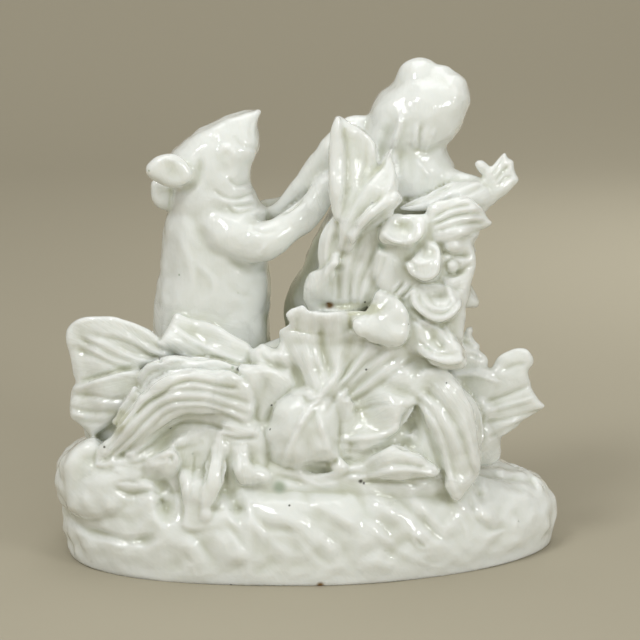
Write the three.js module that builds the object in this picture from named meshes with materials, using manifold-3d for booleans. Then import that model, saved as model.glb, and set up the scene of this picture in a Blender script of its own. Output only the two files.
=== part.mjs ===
// A glazed white porcelain group: a pig and a frog dancing hand in hand on a wavy mound,
// behind a bank of leaves and flowers. One hollow-cast, fired piece, so it is one solid.
// Millimetres, +Z up. The origin is under the middle of the flat foot ring, and the leafy
// side that is seen faces -Y.
import * as THREE from 'three';
import { mergeVertices } from 'three/addons/utils/BufferGeometryUtils.js';
import Module from 'manifold-3d';

// Driving dimensions
const footLength = 141;
const footDepth = 76;
const footCentre = 0.8;
const shoulderHeight = 24;
const leftFullness = 2.7;
const rightFullness = 1.75;
const waveTurns = 0.36;
const waveSlant = 5.2;
const waveHeight = 0.4;
const waveDepth = 0.028;
const armRadius = 4.2;
const legRadius = 5.6;
const toeRadius = 4.4;
const eyeSize = [1.6, 1.2, 2.4];
const glazeWhite = 0xe6e8e1;

// The place that the leafy side is seen from. The outlines of bodies, leaves and petals are
// drawn as they show from there on the plane y = 0, and moved along the line of sight to
// their own depth.
const eye = [3.6, -601.6, 215.2];
const toViewer = [0, -1, 0.25];

const wasm = await Module();
wasm.setup();

const vector = (point) => new THREE.Vector3(...point);

// A value read smoothly from a list of named sizes, 0 at its start and 1 at its end
function along(sizes, share) {
  const place = THREE.MathUtils.clamp(share, 0, 1) * (sizes.length - 1);
  const first = Math.min(Math.floor(place), sizes.length - 2);
  const rest = place - first;
  const eased = rest * rest * (3 - 2 * rest);
  return THREE.MathUtils.lerp(sizes[first], sizes[first + 1], 0.5 * (rest + eased));
}

// The point at a depth y that shows at (x, z) of the drawing plane
function atDepth(x, z, y) {
  const share = 1 - y / eye[1];
  return new THREE.Vector3(eye[0] + (x - eye[0]) * share, y, eye[2] + (z - eye[2]) * share);
}

// The direction of a spine at a share of its length, with the way across it and out of it
function frameOn(curve, share, face) {
  const centre = curve.getPoint(share);
  const ahead = curve.getTangent(share);
  const side = ahead.clone().cross(face).normalize();
  const out = side.clone().cross(ahead).normalize();
  return { centre, side, out };
}

// A closed skin: place() carries each point of a sphere, by its share from pole to pole
// and its turn round the axis, onto the form
function skin(around, steps, place) {
  const geometry = new THREE.SphereGeometry(1, around, steps);
  const { position, uv } = geometry.attributes;
  for (let i = 0; i < position.count; i++) {
    const point = place(1 - uv.getY(i), uv.getX(i) * 2 * Math.PI);
    position.setXYZ(i, point.x, point.y, point.z);
  }
  return geometry;
}

// An arm, leg or bank of earth: round sections along a spine, rounded off at both ends
function limb(spine, radii, { face = toViewer, flat = 1, blunt = 2.6, around = 7, steps = 6 } = {}) {
  const curve = new THREE.CatmullRomCurve3(spine.map(vector), false, 'centripetal');
  const towards = vector(face);
  return skin(around, steps, (share, turn) => {
    const eased = 0.5 - 0.5 * Math.cos(Math.PI * share);
    const { centre, side, out } = frameOn(curve, eased, towards);
    const cap = (1 - Math.abs(2 * eased - 1) ** blunt) ** (1 / blunt);
    const radius = along(radii, eased) * cap;
    centre.addScaledVector(side, radius * Math.cos(turn));
    return centre.addScaledVector(out, radius * flat * Math.sin(turn));
  });
}

// An egg-shaped swelling: an eye, a haunch, a foot
function knob(centre, [across, deep, tall], { around = 7, steps = 4 } = {}) {
  return skin(around, steps, (share, turn) => {
    const ring = Math.sin(Math.PI * share);
    return new THREE.Vector3(
      centre[0] - across * ring * Math.cos(turn),
      centre[1] - deep * ring * Math.sin(turn),
      centre[2] + tall * Math.cos(Math.PI * share),
    );
  });
}

// A body of level rings. Each level has its height, its left and right sides as they show
// from the leafy side, its front and back, and how square it is.
function stack(levels, around = 12) {
  return skin(around, levels.length + 1, (share, turn) => {
    const step = Math.round(share * (levels.length + 1));
    const level = levels[THREE.MathUtils.clamp(step - 1, 0, levels.length - 1)];
    const [height, leftSide, rightSide, front, back, square] = level;
    const capped = step === 0 || step === levels.length + 1 ? 0 : 0.5;
    const middle = 0.5 * (front + back);
    const left = atDepth(leftSide, height, middle);
    const right = atDepth(rightSide, height, middle);
    const across = Math.sign(Math.cos(turn)) * Math.abs(Math.cos(turn)) ** (2 / square);
    const deep = Math.sign(Math.sin(turn)) * Math.abs(Math.sin(turn)) ** (2 / square);
    return new THREE.Vector3(
      0.5 * (left.x + right.x) + capped * (right.x - left.x) * across,
      middle - capped * (back - front) * deep,
      left.z,
    );
  });
}

// A depth blended from anchors (x, z, depth), nearer anchors counting more
function spread(x, z, anchors) {
  const weights = anchors.map((anchor) => ((x - anchor[0]) ** 2 + (z - anchor[1]) ** 2 + 4) ** -1.5);
  const total = weights.reduce((sum, weight) => sum + weight, 0);
  return anchors.reduce((sum, anchor, i) => sum + anchor[2] * weights[i], 0) / total;
}

// A leaf or petal pressed flat on the bank: its outline, the depth of its face from
// anchors, a bevelled edge, and a body that sinks in behind it
function plate(outline, anchors, { thick = 2.5, edge = 1.6, behind = 3 } = {}) {
  const shape = new THREE.Shape(outline.map(([x, z]) => new THREE.Vector2(x, z)));
  const geometry = new THREE.ExtrudeGeometry(shape, {
    depth: behind, bevelThickness: thick, bevelSize: edge, bevelOffset: -edge, bevelSegments: 1,
  });
  const position = geometry.attributes.position;
  for (let i = 0; i < position.count; i++) {
    const [x, z, out] = [position.getX(i), position.getY(i), position.getZ(i)];
    const point = atDepth(x, z, spread(x, z, anchors) + behind - out);
    position.setXYZ(i, point.x, point.y, point.z);
  }
  return geometry;
}

// The outline of the foot in plan, fuller at the left end than at the right
function footReach(turn) {
  const across = Math.cos(turn);
  const fullness = across < 0 ? leftFullness : rightFullness;
  const sum = Math.abs(across / (footLength / 2)) ** fullness
    + Math.abs(Math.sin(turn) / (footDepth / 2)) ** fullness;
  return sum ** (-1 / fullness);
}

// The mound: a flat foot ring, a rolling side with slanting waves, and a low domed top
function mound() {
  const profile = [
    [0, 0], [0.97, 0], [0.985, 0.12], [1.0, 0.35], [0.985, 0.62], [0.93, 0.86],
    [0.82, 1.0], [0.5, 1.08], [0, 1.12],
  ].map(([out, up]) => new THREE.Vector2(out, up));
  const geometry = new THREE.LatheGeometry(profile, 36);
  const position = geometry.attributes.position;
  for (let i = 0; i < position.count; i++) {
    const turn = Math.atan2(position.getX(i), position.getZ(i));
    const out = Math.hypot(position.getX(i), position.getZ(i));
    const up = position.getY(i);
    const x = out * footReach(turn - Math.PI / 2) * Math.cos(turn - Math.PI / 2);
    const y = out * footReach(turn - Math.PI / 2) * Math.sin(turn - Math.PI / 2);
    const atLeft = THREE.MathUtils.smoothstep(-x, 38, 62);
    const atRight = THREE.MathUtils.smoothstep(x, 30, 66);
    const front = THREE.MathUtils.smoothstep(-y, 5, 30);
    const side = Math.sin(Math.PI * Math.min(1, up)) * out;
    const waves = waveHeight * side * front * (Math.sin(x * waveTurns + up * waveSlant) - 1);
    const height = shoulderHeight * (1 + 0.22 * atLeft - 0.12 * atRight);
    position.setXYZ(i, footCentre + x, y * (1 + waveDepth * waves), up * (height + waves));
  }
  return geometry;
}

// The bank of earth behind the plants, which joins them to the mound and to the figures
function bank() {
  return [
    limb([[-62, -8, 34], [-48, -9, 38], [-30, -10, 38], [-12, -10, 43], [4, -11, 44]],
      [9, 14, 15, 15, 14], { steps: 5, flat: 0.8 }),
    limb([[-8, -12, 36], [14, -12, 38], [30, -12, 39], [45, -9, 34], [58, -5, 26]],
      [16, 16, 15, 12, 8], { steps: 5, flat: 0.85 }),
    limb([[18, -8, 36], [23, -8, 56], [26, -7, 74], [28, -5, 92]], [13, 14, 13, 9],
      { flat: 0.6, steps: 5 }),
    limb([[9, -7, 54], [9, -8, 76], [12, -7, 98]], [7, 7, 4.5], { steps: 4, around: 6 }),
    limb([[-44, -18, 24], [-22, -20, 25], [4, -21, 25], [26, -21, 25], [46, -17, 22]],
      [8, 8.5, 9, 9, 8], { steps: 5 }),
    limb([[-44, -15, 34], [-26, -16, 37], [-10, -16, 39]], [7, 8, 7], { steps: 4, around: 6 }),
    limb([[24, -15, 46], [38, -17, 44], [45, -17, 30]], [8, 8, 7], { steps: 4, around: 6 }),
    limb([[-16, -10, 52], [-6, -11, 56], [4, -12, 58]], [6, 7, 7], { steps: 4, around: 6 }),
    limb([[30, -9, 58], [36, -8, 72], [40, -7, 88]], [7, 8, 6], { steps: 4, around: 6 }),
  ];
}

function pig() {
  const figure = stack([
    [42, -38, -14, -8, 16, 2.3], [54, -42.8, -10.4, -12, 20, 2.3],
    [66, -42.9, -10.4, -12, 20, 2.3], [74, -42.3, -10.1, -11.5, 19.5, 2.3],
    [82, -40.8, -10.6, -11, 19, 2.3], [92, -39.7, -11, -10, 17, 2.3],
    [97, -38.2, -11.6, -9, 15.5, 2.3], [101, -37.6, -14, -8.5, 14.5, 2.3],
    [105, -37.6, -15.4, -8, 14, 2.4], [109, -38, -15, -7.5, 13.5, 2.5],
    [112.5, -37.3, -13.9, -6.8, 13, 2.6], [115.5, -34.3, -13, -5.5, 12.4, 2.8],
    [118.4, -30.5, -13.3, -3.6, 11.8, 3], [120.6, -26, -13.6, -2, 11.2, 3],
    [122.6, -21.6, -13, -0.6, 10.4, 2.8], [124.4, -16, -12.8, 1, 9, 2.6],
  ]);
  const upperArm = limb([[-33, 0, 95], [-27, -4.5, 92.5], [-20, -7.5, 89], [-14, -9.5, 85.5]],
    [4, 7, 7.6, 6], { blunt: 4, steps: 5 });
  const foreArm = limb(
    [[-19, -8, 86], [-14, -10, 85.5], [-8, -9.5, 89], [-2, -7, 94.5], [3, -3, 102], [6, 0, 108]],
    [5, 5.6, 5.2, 5, armRadius, 3.8], { blunt: 4, steps: 7 },
  );
  const farArm = limb([[-20, 13, 92], [-12, 13, 92], [-6, 9, 95], [0, 5, 101]], [6, 5, armRadius, 3.6],
    { steps: 5, around: 6 });
  const nearEar = plate([
    [-37, 112.4], [-41.8, 111.2], [-44.2, 108], [-42.6, 105], [-38, 102.6], [-33, 103.4],
    [-31.5, 107], [-33.6, 110.6],
  ], [[-43, 108, -9], [-34, 108, -7.5]], { thick: 2.4, edge: 1.4, behind: 2.5 });
  const farEar = plate([
    [-42, 104.8], [-43, 101], [-41, 97], [-38.6, 96.2], [-37, 100], [-38.5, 104.5],
  ], [[0, 0, 3]], { thick: 2.2, edge: 1.4, behind: 2.5 });
  const haunches = [[-31, -4, 54], [-25, 13, 50]].map((place) => knob(place, [10, 8, 12], { steps: 5 }));
  const legs = [[-31, -1], [-24, 14]].map(([x, y]) => limb(
    [[x, y, 46], [x + 1, y + 1, 36], [x + 4, y + 1, 24]], [8, legRadius, 3.8], { steps: 5 },
  ));
  const tail = limb([[-38, 9, 52], [-43, 10, 53], [-45, 12, 57], [-42, 13, 58]],
    [2, 1.8, 1.5, 1.2], { around: 5, steps: 6 });
  const eyes = [[-22.6, -4.2, 112.6], [-21, 13, 111.5]].map((place) => knob(place, eyeSize, { around: 6 }));
  return [figure, upperArm, foreArm, farArm, nearEar, farEar, ...haunches, ...legs, tail, ...eyes];
}

function frog() {
  const figure = stack([
    [60, 0, 26, -1, 18, 2.3], [66, -4, 30, -4, 21, 2.3], [73, -4.6, 34, -5, 21, 2.3],
    [80, -1.6, 36, -5, 21, 2.3],
    [87, 1.2, 38, -5, 20, 2.3], [94, 5, 39.6, -5, 20, 2.3], [100, 8, 40.6, -5.5, 20, 2.3],
    [105, 11, 41, -6, 20, 2.3], [109, 12.5, 40.6, -5.5, 19.5, 2.3], [114, 13.4, 38.3, -4.2, 19, 2.2],
    [118, 14.6, 41, -4.8, 20, 2.4], [124, 17.2, 43.8, -5, 21, 2.5], [128, 19.2, 44.6, -4, 21, 2.6],
    [131, 22.6, 44, -2, 20, 2.6], [134.4, 27, 38.5, 3, 16, 2.3],
  ]);
  const eyes = [
    knob([31.2, 9, 132.1], [5.4, 6.4, 5.7], { steps: 5 }),
    knob([39.6, 6, 128.4], [4.8, 6, 4.8], { steps: 5 }),
  ];
  const shoulder = limb([[30, 7, 104], [22, 7, 112], [14.5, 7, 118.5]], [9, 7, 3.8], { steps: 5 });
  const heldArm = limb(
    [[22, 8, 114], [14, 6, 118.5], [9, 4, 115], [3, 4, 108], [-2, 4, 101.5], [-7, 5, 96], [-12, 6, 94.5]],
    [6, 4.4, armRadius, 3.7, 3.5, 3.2, 3], { steps: 8 },
  );
  const raisedArm = limb(
    [[34, 2, 101], [40, 0, 103.5], [45, -1, 102.5], [49, -0.5, 101.5], [53, 0, 103]],
    [6, 5, armRadius, 4, 3.6],
  );
  const sleeve = limb([[33, -6, 97], [40, -7, 100.5], [46, -5, 101.5], [52, -2, 99]],
    [4, 4.6, 4, 2.4], { steps: 5 });
  const hand = plate([
    [46.6, 109.7], [49.6, 105.8], [51.4, 109.9], [54.8, 112.4], [57.6, 109.3], [58.4, 105.2],
    [57, 102.4], [51, 98.6], [47.5, 97.5], [45.5, 101], [47.4, 104.4], [47.2, 107],
  ], [[0, 0, 0]], { thick: 2.2, edge: 0.5, behind: 1.4 });
  const thighs = [
    limb([[15, 8, 79], [5, 9, 74], [-0.5, 9, 67], [-3, 10, 57]], [8, 7.6, 6.4, 5], { steps: 7 }),
    limb([[16, 10, 68], [20, 19, 64], [19, 24, 54]], [10, 7.5, 5], { steps: 6 }),
  ];
  const shins = [[-4, 10, 60], [19, 23, 57]].map(([x, y, z]) => limb(
    [[x, y, z], [x + 1, y + 3, 42], [x, y + 1, 26]], [5, 4.2, 3.4], { steps: 5 },
  ));
  const feet = [[-4, 16], [19, 26]].map(([x, y]) => knob([x, y, 27], [toeRadius, 6, 1.8]));
  return [figure, ...eyes, shoulder, heldArm, raisedArm, sleeve, hand, ...thighs, ...shins, ...feet];
}

// The pointed leaves and stems that stand in front of the frog
function tallSpray() {
  const tallLeaf = plate([
    [8.7, 123.2], [6.4, 118.1], [5.9, 105.3], [8.1, 92.9], [9.8, 90], [16.5, 100.2], [18.8, 104.8],
    [19.3, 109.3], [18.8, 114.4], [15.7, 118.7]
  ], [[8.5, 123, -13], [6, 105.5, -15], [12, 96.5, -17], [19.5, 113.5, -12]],
    { thick: 2.6, edge: 0.9, behind: 2 });
  const innerLeaf = plate([
    [11.5, 99.1], [9.2, 94.8], [9.2, 86], [11.5, 84.3], [15.4, 88.9], [23.5, 95.4], [25.2, 104.5],
    [23.2, 111], [23.8, 114.7]
  ], [[23.5, 113.5, -13], [15, 99, -18], [10.5, 88, -19]],
    { thick: 2.4, edge: 0.8, behind: 4 });
  const rolledLeaf = plate([
    [25.2, 101.6], [22.1, 101.1], [16.5, 97.7], [12, 91.2], [11.2, 88.3], [12.6, 86.6], [17.6, 92.6],
    [24.9, 97.4], [26.3, 99.4]
  ], [[25.5, 100, -18], [15.5, 95, -22], [12, 89, -21]],
    { thick: 3.6, edge: 0.9, behind: 2 });
  const stemColumn = plate([
    [8.1, 94.6], [5.6, 93.1], [3.6, 88.3], [2, 73.6], [3.1, 68.5], [5.3, 65.6], [10.6, 64.5],
    [19.3, 70.2], [24.9, 75.3], [27.2, 81.5], [27.2, 86.3], [19.9, 92.9], [13.7, 92.9]
  ], [[9, 92, -14], [3.5, 70.5, -14], [20.5, 85, -15], [15, 65, -15]],
    { thick: 4, edge: 2, behind: 7 });
  const lowLeaf = plate([
    [7.3, 95.1], [5.3, 93.1], [2.8, 82.9], [3.1, 78.4], [5, 76.4], [7.6, 79.8], [8.7, 86.3],
    [9.2, 91.7]
  ], [[5.5, 92, -16], [3.5, 85, -16], [3.5, 78.5, -15]],
    { thick: 2.8, edge: 0.8, behind: 5 });
  const sidePetal = plate([
    [4.2, 79.8], [1.1, 79], [-0.6, 76.4], [-0.8, 70.5], [1.1, 67.1], [4.2, 66.8], [6.4, 70.7],
    [8.1, 77.5], [9.2, 83.2], [7.3, 83.8]
  ], [[1, 78.5, -16], [1.5, 68, -15], [6.5, 80.5, -19]],
    { thick: 2.6, edge: 1, behind: 4 });
  return [tallLeaf, innerLeaf, rolledLeaf, stemColumn, lowLeaf, sidePetal];
}

// The cluster of small cupped flowers at the right of the stems
function flowers() {
  const cupFlower = plate([
    [19.9, 86], [22.1, 84.9], [28.9, 85.8], [31.7, 87.5], [33.9, 93.4], [32.8, 95.4], [25.8, 95.5],
    [22.7, 93.7], [19.9, 90], [20.7, 87.8]
  ], [[26, 95, -16], [22, 86.5, -21], [31.5, 88, -20]],
    { thick: 4.2, edge: 1.8, behind: 5 });
  const facingFlower = plate([
    [26.9, 81.5], [28.6, 77.8], [31.4, 76.3], [35.3, 76], [37.3, 78.7], [37.8, 81.5], [37.3, 85.2],
    [34.5, 90.9], [27.7, 83.8]
  ], [[34.5, 90, -18], [31.5, 78, -23]],
    { thick: 4.4, edge: 2, behind: 5 });
  const ribbedPetal = plate([
    [33.9, 90.6], [35.6, 87.8], [41.5, 88.6], [50.1, 91.4], [51.3, 92.9], [47.9, 96.5], [43.4, 99.4],
    [34.5, 96.8]
  ], [[34.5, 95.5, -15], [43, 97.5, -16], [50.5, 93, -13], [40, 89, -19]],
    { thick: 2.6, edge: 1.4, behind: 3 });
  const sideColumn = plate([
    [37.8, 86], [38.4, 76.4], [39.8, 71.9], [41.7, 69], [47.3, 69], [47.9, 71], [44.5, 77.8],
    [45.9, 85.5], [47.9, 90], [41.5, 89.5]
  ], [[48, 89, -12], [38.5, 85, -15], [47, 70.5, -11], [41.5, 70.5, -15]],
    { thick: 4, edge: 1.8, behind: 5 });
  const shallowCup = plate([
    [28, 67.3], [28.9, 63.9], [30.5, 62], [33.3, 62.2], [36.1, 64.5], [39.5, 65.1], [42.9, 69.3],
    [43.4, 72.2], [42.3, 74.4], [39.5, 75.6], [32.8, 76.1], [28.3, 73.9]
  ], [[36, 75.5, -19], [36, 66, -24]],
    { thick: 4, edge: 1.8, behind: 6 });
  const hangingCup = plate([
    [28.9, 65.1], [29.7, 57.7], [31.7, 54.9], [33.9, 52.7], [40.1, 50.9], [43.7, 50.9], [45.1, 52.6],
    [44.8, 55.4], [41.2, 62.5], [34.5, 65.6]
  ], [[33, 63.5, -21], [40, 53, -25]],
    { thick: 4.4, edge: 2, behind: 6 });
  const smoothPetal = plate([
    [19.3, 73.3], [17.6, 69.3], [12.3, 64.8], [16, 59.7], [19.3, 58], [23, 57.1], [26.9, 57.7],
    [28.6, 60], [28.3, 67.3], [26.6, 70.2], [23.5, 72.2]
  ], [[19.5, 72, -20], [15.5, 61, -25], [26, 59.5, -26]],
    { thick: 3.2, edge: 2, behind: 4 });
  const petalGap = plate([
    [18.8, 79.2], [21, 73.6], [28.3, 70.7], [30, 75.3], [27.2, 81.5], [23.8, 84.9], [20.4, 84.9]
  ], [[24.5, 75, -17], [22, 82, -17]],
    { thick: 3, edge: 2, behind: 5 });
  return [cupFlower, facingFlower, ribbedPetal, sideColumn, shallowCup, hangingCup, smoothPetal, petalGap];
}

// The two large flowers in the middle: one flares up and sideways, one hangs like a bell
function middleFlowers() {
  const ruffledBody = plate([
    [-8.7, 56.8], [-12.6, 58.4], [-15.7, 56.6], [-16, 54.3], [-14.3, 51.5], [-7.6, 51.5], [-4.2, 49.8],
    [0.6, 43.2], [3.1, 41.5], [6.4, 41.3], [9.2, 43], [12, 45.8], [22.1, 52], [26.1, 56], [22.7, 57.1],
    [18.2, 60.5], [15.4, 64.8], [-5.3, 63.7], [-7.3, 61.7]
  ], [[-2, 62, -18], [9, 62, -18], [-2, 53.5, -20], [15, 56.5, -19], [5, 43, -23]],
    { thick: 4.6, edge: 2, behind: 9 });
  const ruffledRim = plate([
    [-7, 62.2], [-4.8, 59.4], [-0.3, 58.3], [6.4, 58.3], [12.6, 60], [16.8, 62.8], [17.9, 66.2],
    [15.4, 67.8], [5.3, 67.6], [0.3, 68.2], [-1.1, 69.5], [-4.5, 68.9], [-6.7, 67.3], [-7.3, 65.4]
  ], [[-6.5, 65.5, -25], [5, 65, -26], [16.5, 65.5, -23.5]],
    { thick: 1.2, edge: 0.9, behind: 0.8 });
  const ruffleLobe = plate([
    [-16.5, 54.3], [-15.4, 52], [-12.6, 50.6], [-8.7, 50.9], [-6.4, 52.6], [-5.3, 55.4], [-6.4, 57.7],
    [-8.7, 56.6], [-12.3, 58.4], [-16, 56.6]
  ], [[-12.5, 56.5, -20], [-9, 53, -21]],
    { thick: 2.4, edge: 1.4, behind: 4 });
  const bell = plate([
    [1.7, 46.4], [-3.6, 45.5], [-9, 40.4], [-10.6, 36.4], [-11.6, 28.2], [-10.4, 24.5], [-7.6, 22.3],
    [-1.1, 21.7], [7.6, 23.1], [9.8, 24.8], [8.4, 41.5], [6.4, 44.4]
  ], [[2, 44.5, -22], [-9, 31, -24], [8, 31, -25], [-0.5, 22.5, -26]],
    { thick: 6, edge: 2, behind: 6 });
  const ribbedFan = plate([
    [8.7, 37.9], [17.1, 43], [22.1, 44.4], [32.8, 44.7], [37.3, 46.9], [38.4, 49.8], [32.2, 56],
    [28.3, 56.6], [23.8, 54.9], [7.6, 41.8]
  ], [[10.5, 44, -21], [31.5, 53.5, -18], [26, 45, -23]],
    { thick: 3, edge: 2, behind: 8 });
  return [ruffledBody, ruffledRim, ruffleLobe, bell, ribbedFan];
}

// The broad leaves, strap leaves, bud and cupped leaf at the right
function rightLeaves() {
  const leafC = plate([
    [9.2, 26.5], [11.5, 24.5], [14.8, 25.4], [22.7, 29.3], [31.1, 41.3], [25.5, 44.1], [18.8, 44.1],
    [12, 40.1], [8.7, 33.9]
  ], [[10.5, 29.5, -24], [26, 42, -29], [17.5, 27, -27]],
    { thick: 2.8, edge: 1.7, behind: 4 });
  const leafD = plate([
    [10.4, 20.8], [12.6, 19.7], [21.6, 20.8], [31.9, 18], [38.9, 21.1], [30.5, 27.4], [26.6, 27.9],
    [23.5, 27.9], [19.9, 24.5], [10.6, 22.8]
  ], [[12.5, 22, -27], [26, 25.5, -31], [37.5, 21.5, -29]],
    { thick: 3, edge: 0.8, behind: 4 });
  const strapSheet = plate([
    [27.2, 47.2], [27.2, 44.4], [31.7, 38.4], [36.1, 29.9], [40.6, 15.7], [42.3, 14], [45.7, 17.2],
    [46.8, 20.3], [48.5, 19.7], [49.9, 22.5], [47.6, 36.4], [45.1, 43], [40.9, 49.2], [38.4, 51.2],
    [35, 51.5], [31.1, 50.3]
  ], [[33, 48, -22], [43, 42.5, -26], [34.5, 31, -27], [47, 22.5, -24], [41.5, 15.5, -25]],
    { thick: 3.4, edge: 1.1, behind: 7 });
  const hollowBlob = plate([
    [26.9, 30.2], [28, 28.8], [30.3, 28.5], [31.7, 30.5], [30.8, 32.8], [28.9, 33.6], [27.2, 32.2]
  ], [[29, 31, -25]],
    { thick: 2.4, edge: 1.7, behind: 3 });
  const budMass = plate([
    [38.9, 48.6], [40.6, 44.7], [44.5, 43.5], [49.6, 48.6], [51, 51.5], [51, 54.6], [45.4, 63.9],
    [39.5, 62]
  ], [[44.5, 61, -9], [48.5, 51, -8], [41.5, 46.5, -9]],
    { thick: 5, edge: 2, behind: 5 });
  const cupLeaf = plate([
    [48.7, 35.6], [49.6, 31.1], [51.3, 28.2], [57.4, 31.6], [67.8, 39.8], [62.2, 48.1], [63.6, 54.3],
    [62.5, 56.3], [59.9, 57.4], [56, 56], [51.5, 52], [50.4, 49.2]
  ], [[52.5, 48, -10], [62.5, 55, -9], [67.5, 40, -8], [54, 31, -11]],
    { thick: 2.8, edge: 1.7, behind: 4 });
  const cupLeafMass = plate([
    [44.5, 31.1], [46.8, 23.7], [50.7, 23.1], [53.5, 25.9], [55.7, 38.4], [52.4, 42.4], [49, 44.7],
    [45.7, 42.4]
  ], [[48.5, 36.5, -10], [54, 31, -8]],
    { thick: 5, edge: 2, behind: 6 });
  return [leafC, leafD, strapSheet, hollowBlob, budMass, cupLeaf, cupLeafMass];
}

// The wide folded leaf at the left end, and the straps that arch over below it
function leftLeaves() {
  const fanUpper = plate([
    [-67.5, 62.2], [-67.6, 59.1], [-65, 45.8], [-43.4, 52], [-38.9, 53.7], [-37.5, 55.7],
    [-42.6, 61.1], [-49.9, 65.1], [-59.1, 66.2], [-62.7, 66.1], [-65.3, 64.5]
  ], [[-66.5, 59.5, -12], [-55, 56.5, -16], [-40, 55, -14]],
    { thick: 2.6, edge: 1.5, behind: 3 });
  const fanLower = plate([
    [-67.2, 42.7], [-66.9, 36.4], [-60.8, 30.5], [-50.1, 39.6], [-46.2, 43.5], [-44, 47.5],
    [-46.2, 50.3], [-50.1, 50.9], [-65.3, 46.4]
  ], [[-66, 42.5, -13], [-55, 45, -17], [-49.5, 39.5, -18]],
    { thick: 2.8, edge: 1.7, behind: 3 });
  const smallRoll = plate([
    [-47.9, 45.5], [-46.5, 45.2], [-42.3, 49.8], [-39.5, 51.2], [-32.8, 52], [-31.9, 54.2],
    [-39.2, 54.9], [-42.6, 53.7], [-47.3, 49.8], [-48.2, 47.2]
  ], [[-47, 48, -20], [-40, 53, -23], [-33, 53, -22]],
    { thick: 3.2, edge: 0.7, behind: 2.5 });
  const archBundle = plate([
    [-52.4, 25.7], [-38.4, 35.6], [-34.5, 37.3], [-26.6, 37.3], [-17.4, 33.9], [-15.4, 35.6],
    [-14.3, 43.5], [-16, 46.9], [-18.8, 49.2], [-22.1, 50.3], [-32.2, 51.5], [-39.2, 49.2],
    [-48.5, 42.4], [-58.3, 28.8], [-60.5, 23.4]
  ], [[-59.5, 24.5, -24], [-47, 39.5, -28], [-33, 44, -30], [-16.5, 42.5, -25]],
    { thick: 3.4, edge: 1.7, behind: 3 });
  const pigLeaf = plate([
    [-36.7, 67.3], [-42, 58.5], [-40.1, 56.6], [-27.7, 51.2], [-22.7, 50.6], [-18.2, 51.5],
    [-15.4, 53.7], [-14.8, 56.6], [-17.1, 58.8], [-24.9, 63.4]
  ], [[-36.5, 66, -12], [-40, 58, -16], [-17.5, 55, -18]],
    { thick: 2.6, edge: 1.7, behind: 4 });
  return [fanUpper, fanLower, smallRoll, archBundle, pigLeaf];
}

// The cut stalks and small petals under the arch at the left
function stalks() {
  const hollowBack = plate([
    [-51.8, 19.1], [-41.2, 16.3], [-36.7, 13.5], [-31.1, 11.8], [-12, 16.9], [-10.9, 22],
    [-12.6, 28.2], [-17.1, 33.3], [-23.2, 35.6], [-30, 36.7], [-36.7, 35], [-52.4, 26.8]
  ], [[-38.5, 31, -20], [-24.5, 22.5, -21], [-44, 22.5, -22]],
    { thick: 4, edge: 2, behind: 9 });
  const bandTop = plate([
    [-26.3, 31.1], [-23.8, 30.2], [-16, 29.9], [-12.9, 31.1], [-12.9, 33.3], [-15.4, 34.5],
    [-23.8, 34.7], [-26.6, 33.9]
  ], [[-26, 33, -27], [-14.5, 32.5, -27]],
    { thick: 2.8, edge: 1.4, behind: 4 });
  const flatStalk = plate([
    [-34.5, 11.8], [-31.7, 11.2], [-29.4, 12.3], [-29.1, 20.3], [-27.2, 27.1], [-28.6, 28.8],
    [-31.1, 29.3], [-33.6, 28.5], [-35, 26.5]
  ], [[-32, 28, -25], [-33, 14, -26]],
    { thick: 2.4, edge: 1.1, behind: 5 });
  const frontStalk = plate([
    [-31.4, 14.6], [-30.5, 12.3], [-28.6, 13.2], [-23.5, 29.3], [-24.1, 31.6], [-26.1, 32.2],
    [-27.7, 31.1]
  ], [[-26, 31, -27], [-30, 14, -29]],
    { thick: 2.8, edge: 1.4, behind: 4 });
  const shortStalk = plate([
    [-22.7, 20.3], [-21.6, 17.2], [-18.2, 16.3], [-10.4, 16.9], [-8.7, 18.6], [-10.4, 20.3],
    [-15.1, 22], [-15.4, 28.8], [-17.1, 30.2], [-19.9, 30.2], [-22.1, 28.8]
  ], [[-19.5, 28, -27], [-19, 18.5, -29], [-11, 18.5, -27]],
    { thick: 3.6, edge: 0.9, behind: 5 });
  const roundPetal = plate([
    [-46.2, 19.7], [-43.4, 18], [-39.8, 18.3], [-37.3, 20.3], [-35.9, 23.1], [-36.1, 26.2],
    [-38.4, 28.5], [-41.2, 29.1], [-44, 28.2], [-46.2, 25.9], [-47.3, 23.1]
  ], [[-41.5, 23.5, -27]],
    { thick: 3.8, edge: 2, behind: 5 });
  const wavyPetal = plate([
    [-53.8, 17.2], [-51.3, 16.6], [-48.5, 17.2], [-46.8, 19.1], [-47.1, 21.4], [-51.8, 22.8],
    [-54.1, 21.7], [-55.2, 19.7]
  ], [[-51.5, 19.5, -27]],
    { thick: 2.4, edge: 1.4, behind: 4 });
  return [hollowBack, bandTop, flatStalk, frontStalk, shortStalk, roundPetal, wavyPetal];
}

// The flat-faced lobe at the left end of the mound
function leftLobe() {
  const lobeFace = plate([
    [-60.2, 31.1], [-66.1, 28.5], [-68.9, 26.2], [-70.3, 23.7], [-68.8, 11.8], [-60.8, 6.1],
    [-49.6, 3.3], [-44, 3.6], [-39.5, 6.4], [-37.3, 11.2], [-38.9, 15.2], [-49, 20.3], [-53.5, 23.7]
  ], [[-66.5, 22.5, -20], [-55, 17, -25], [-41, 11, -27], [-58, 27, -19]],
    { thick: 5, edge: 2.2, behind: 16 });
  const lobeBack = knob([-54.2, -7, 21.5], [17.1, 23.5, 12.6], { around: 9, steps: 6 });
  return [lobeFace, lobeBack];
}

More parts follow.
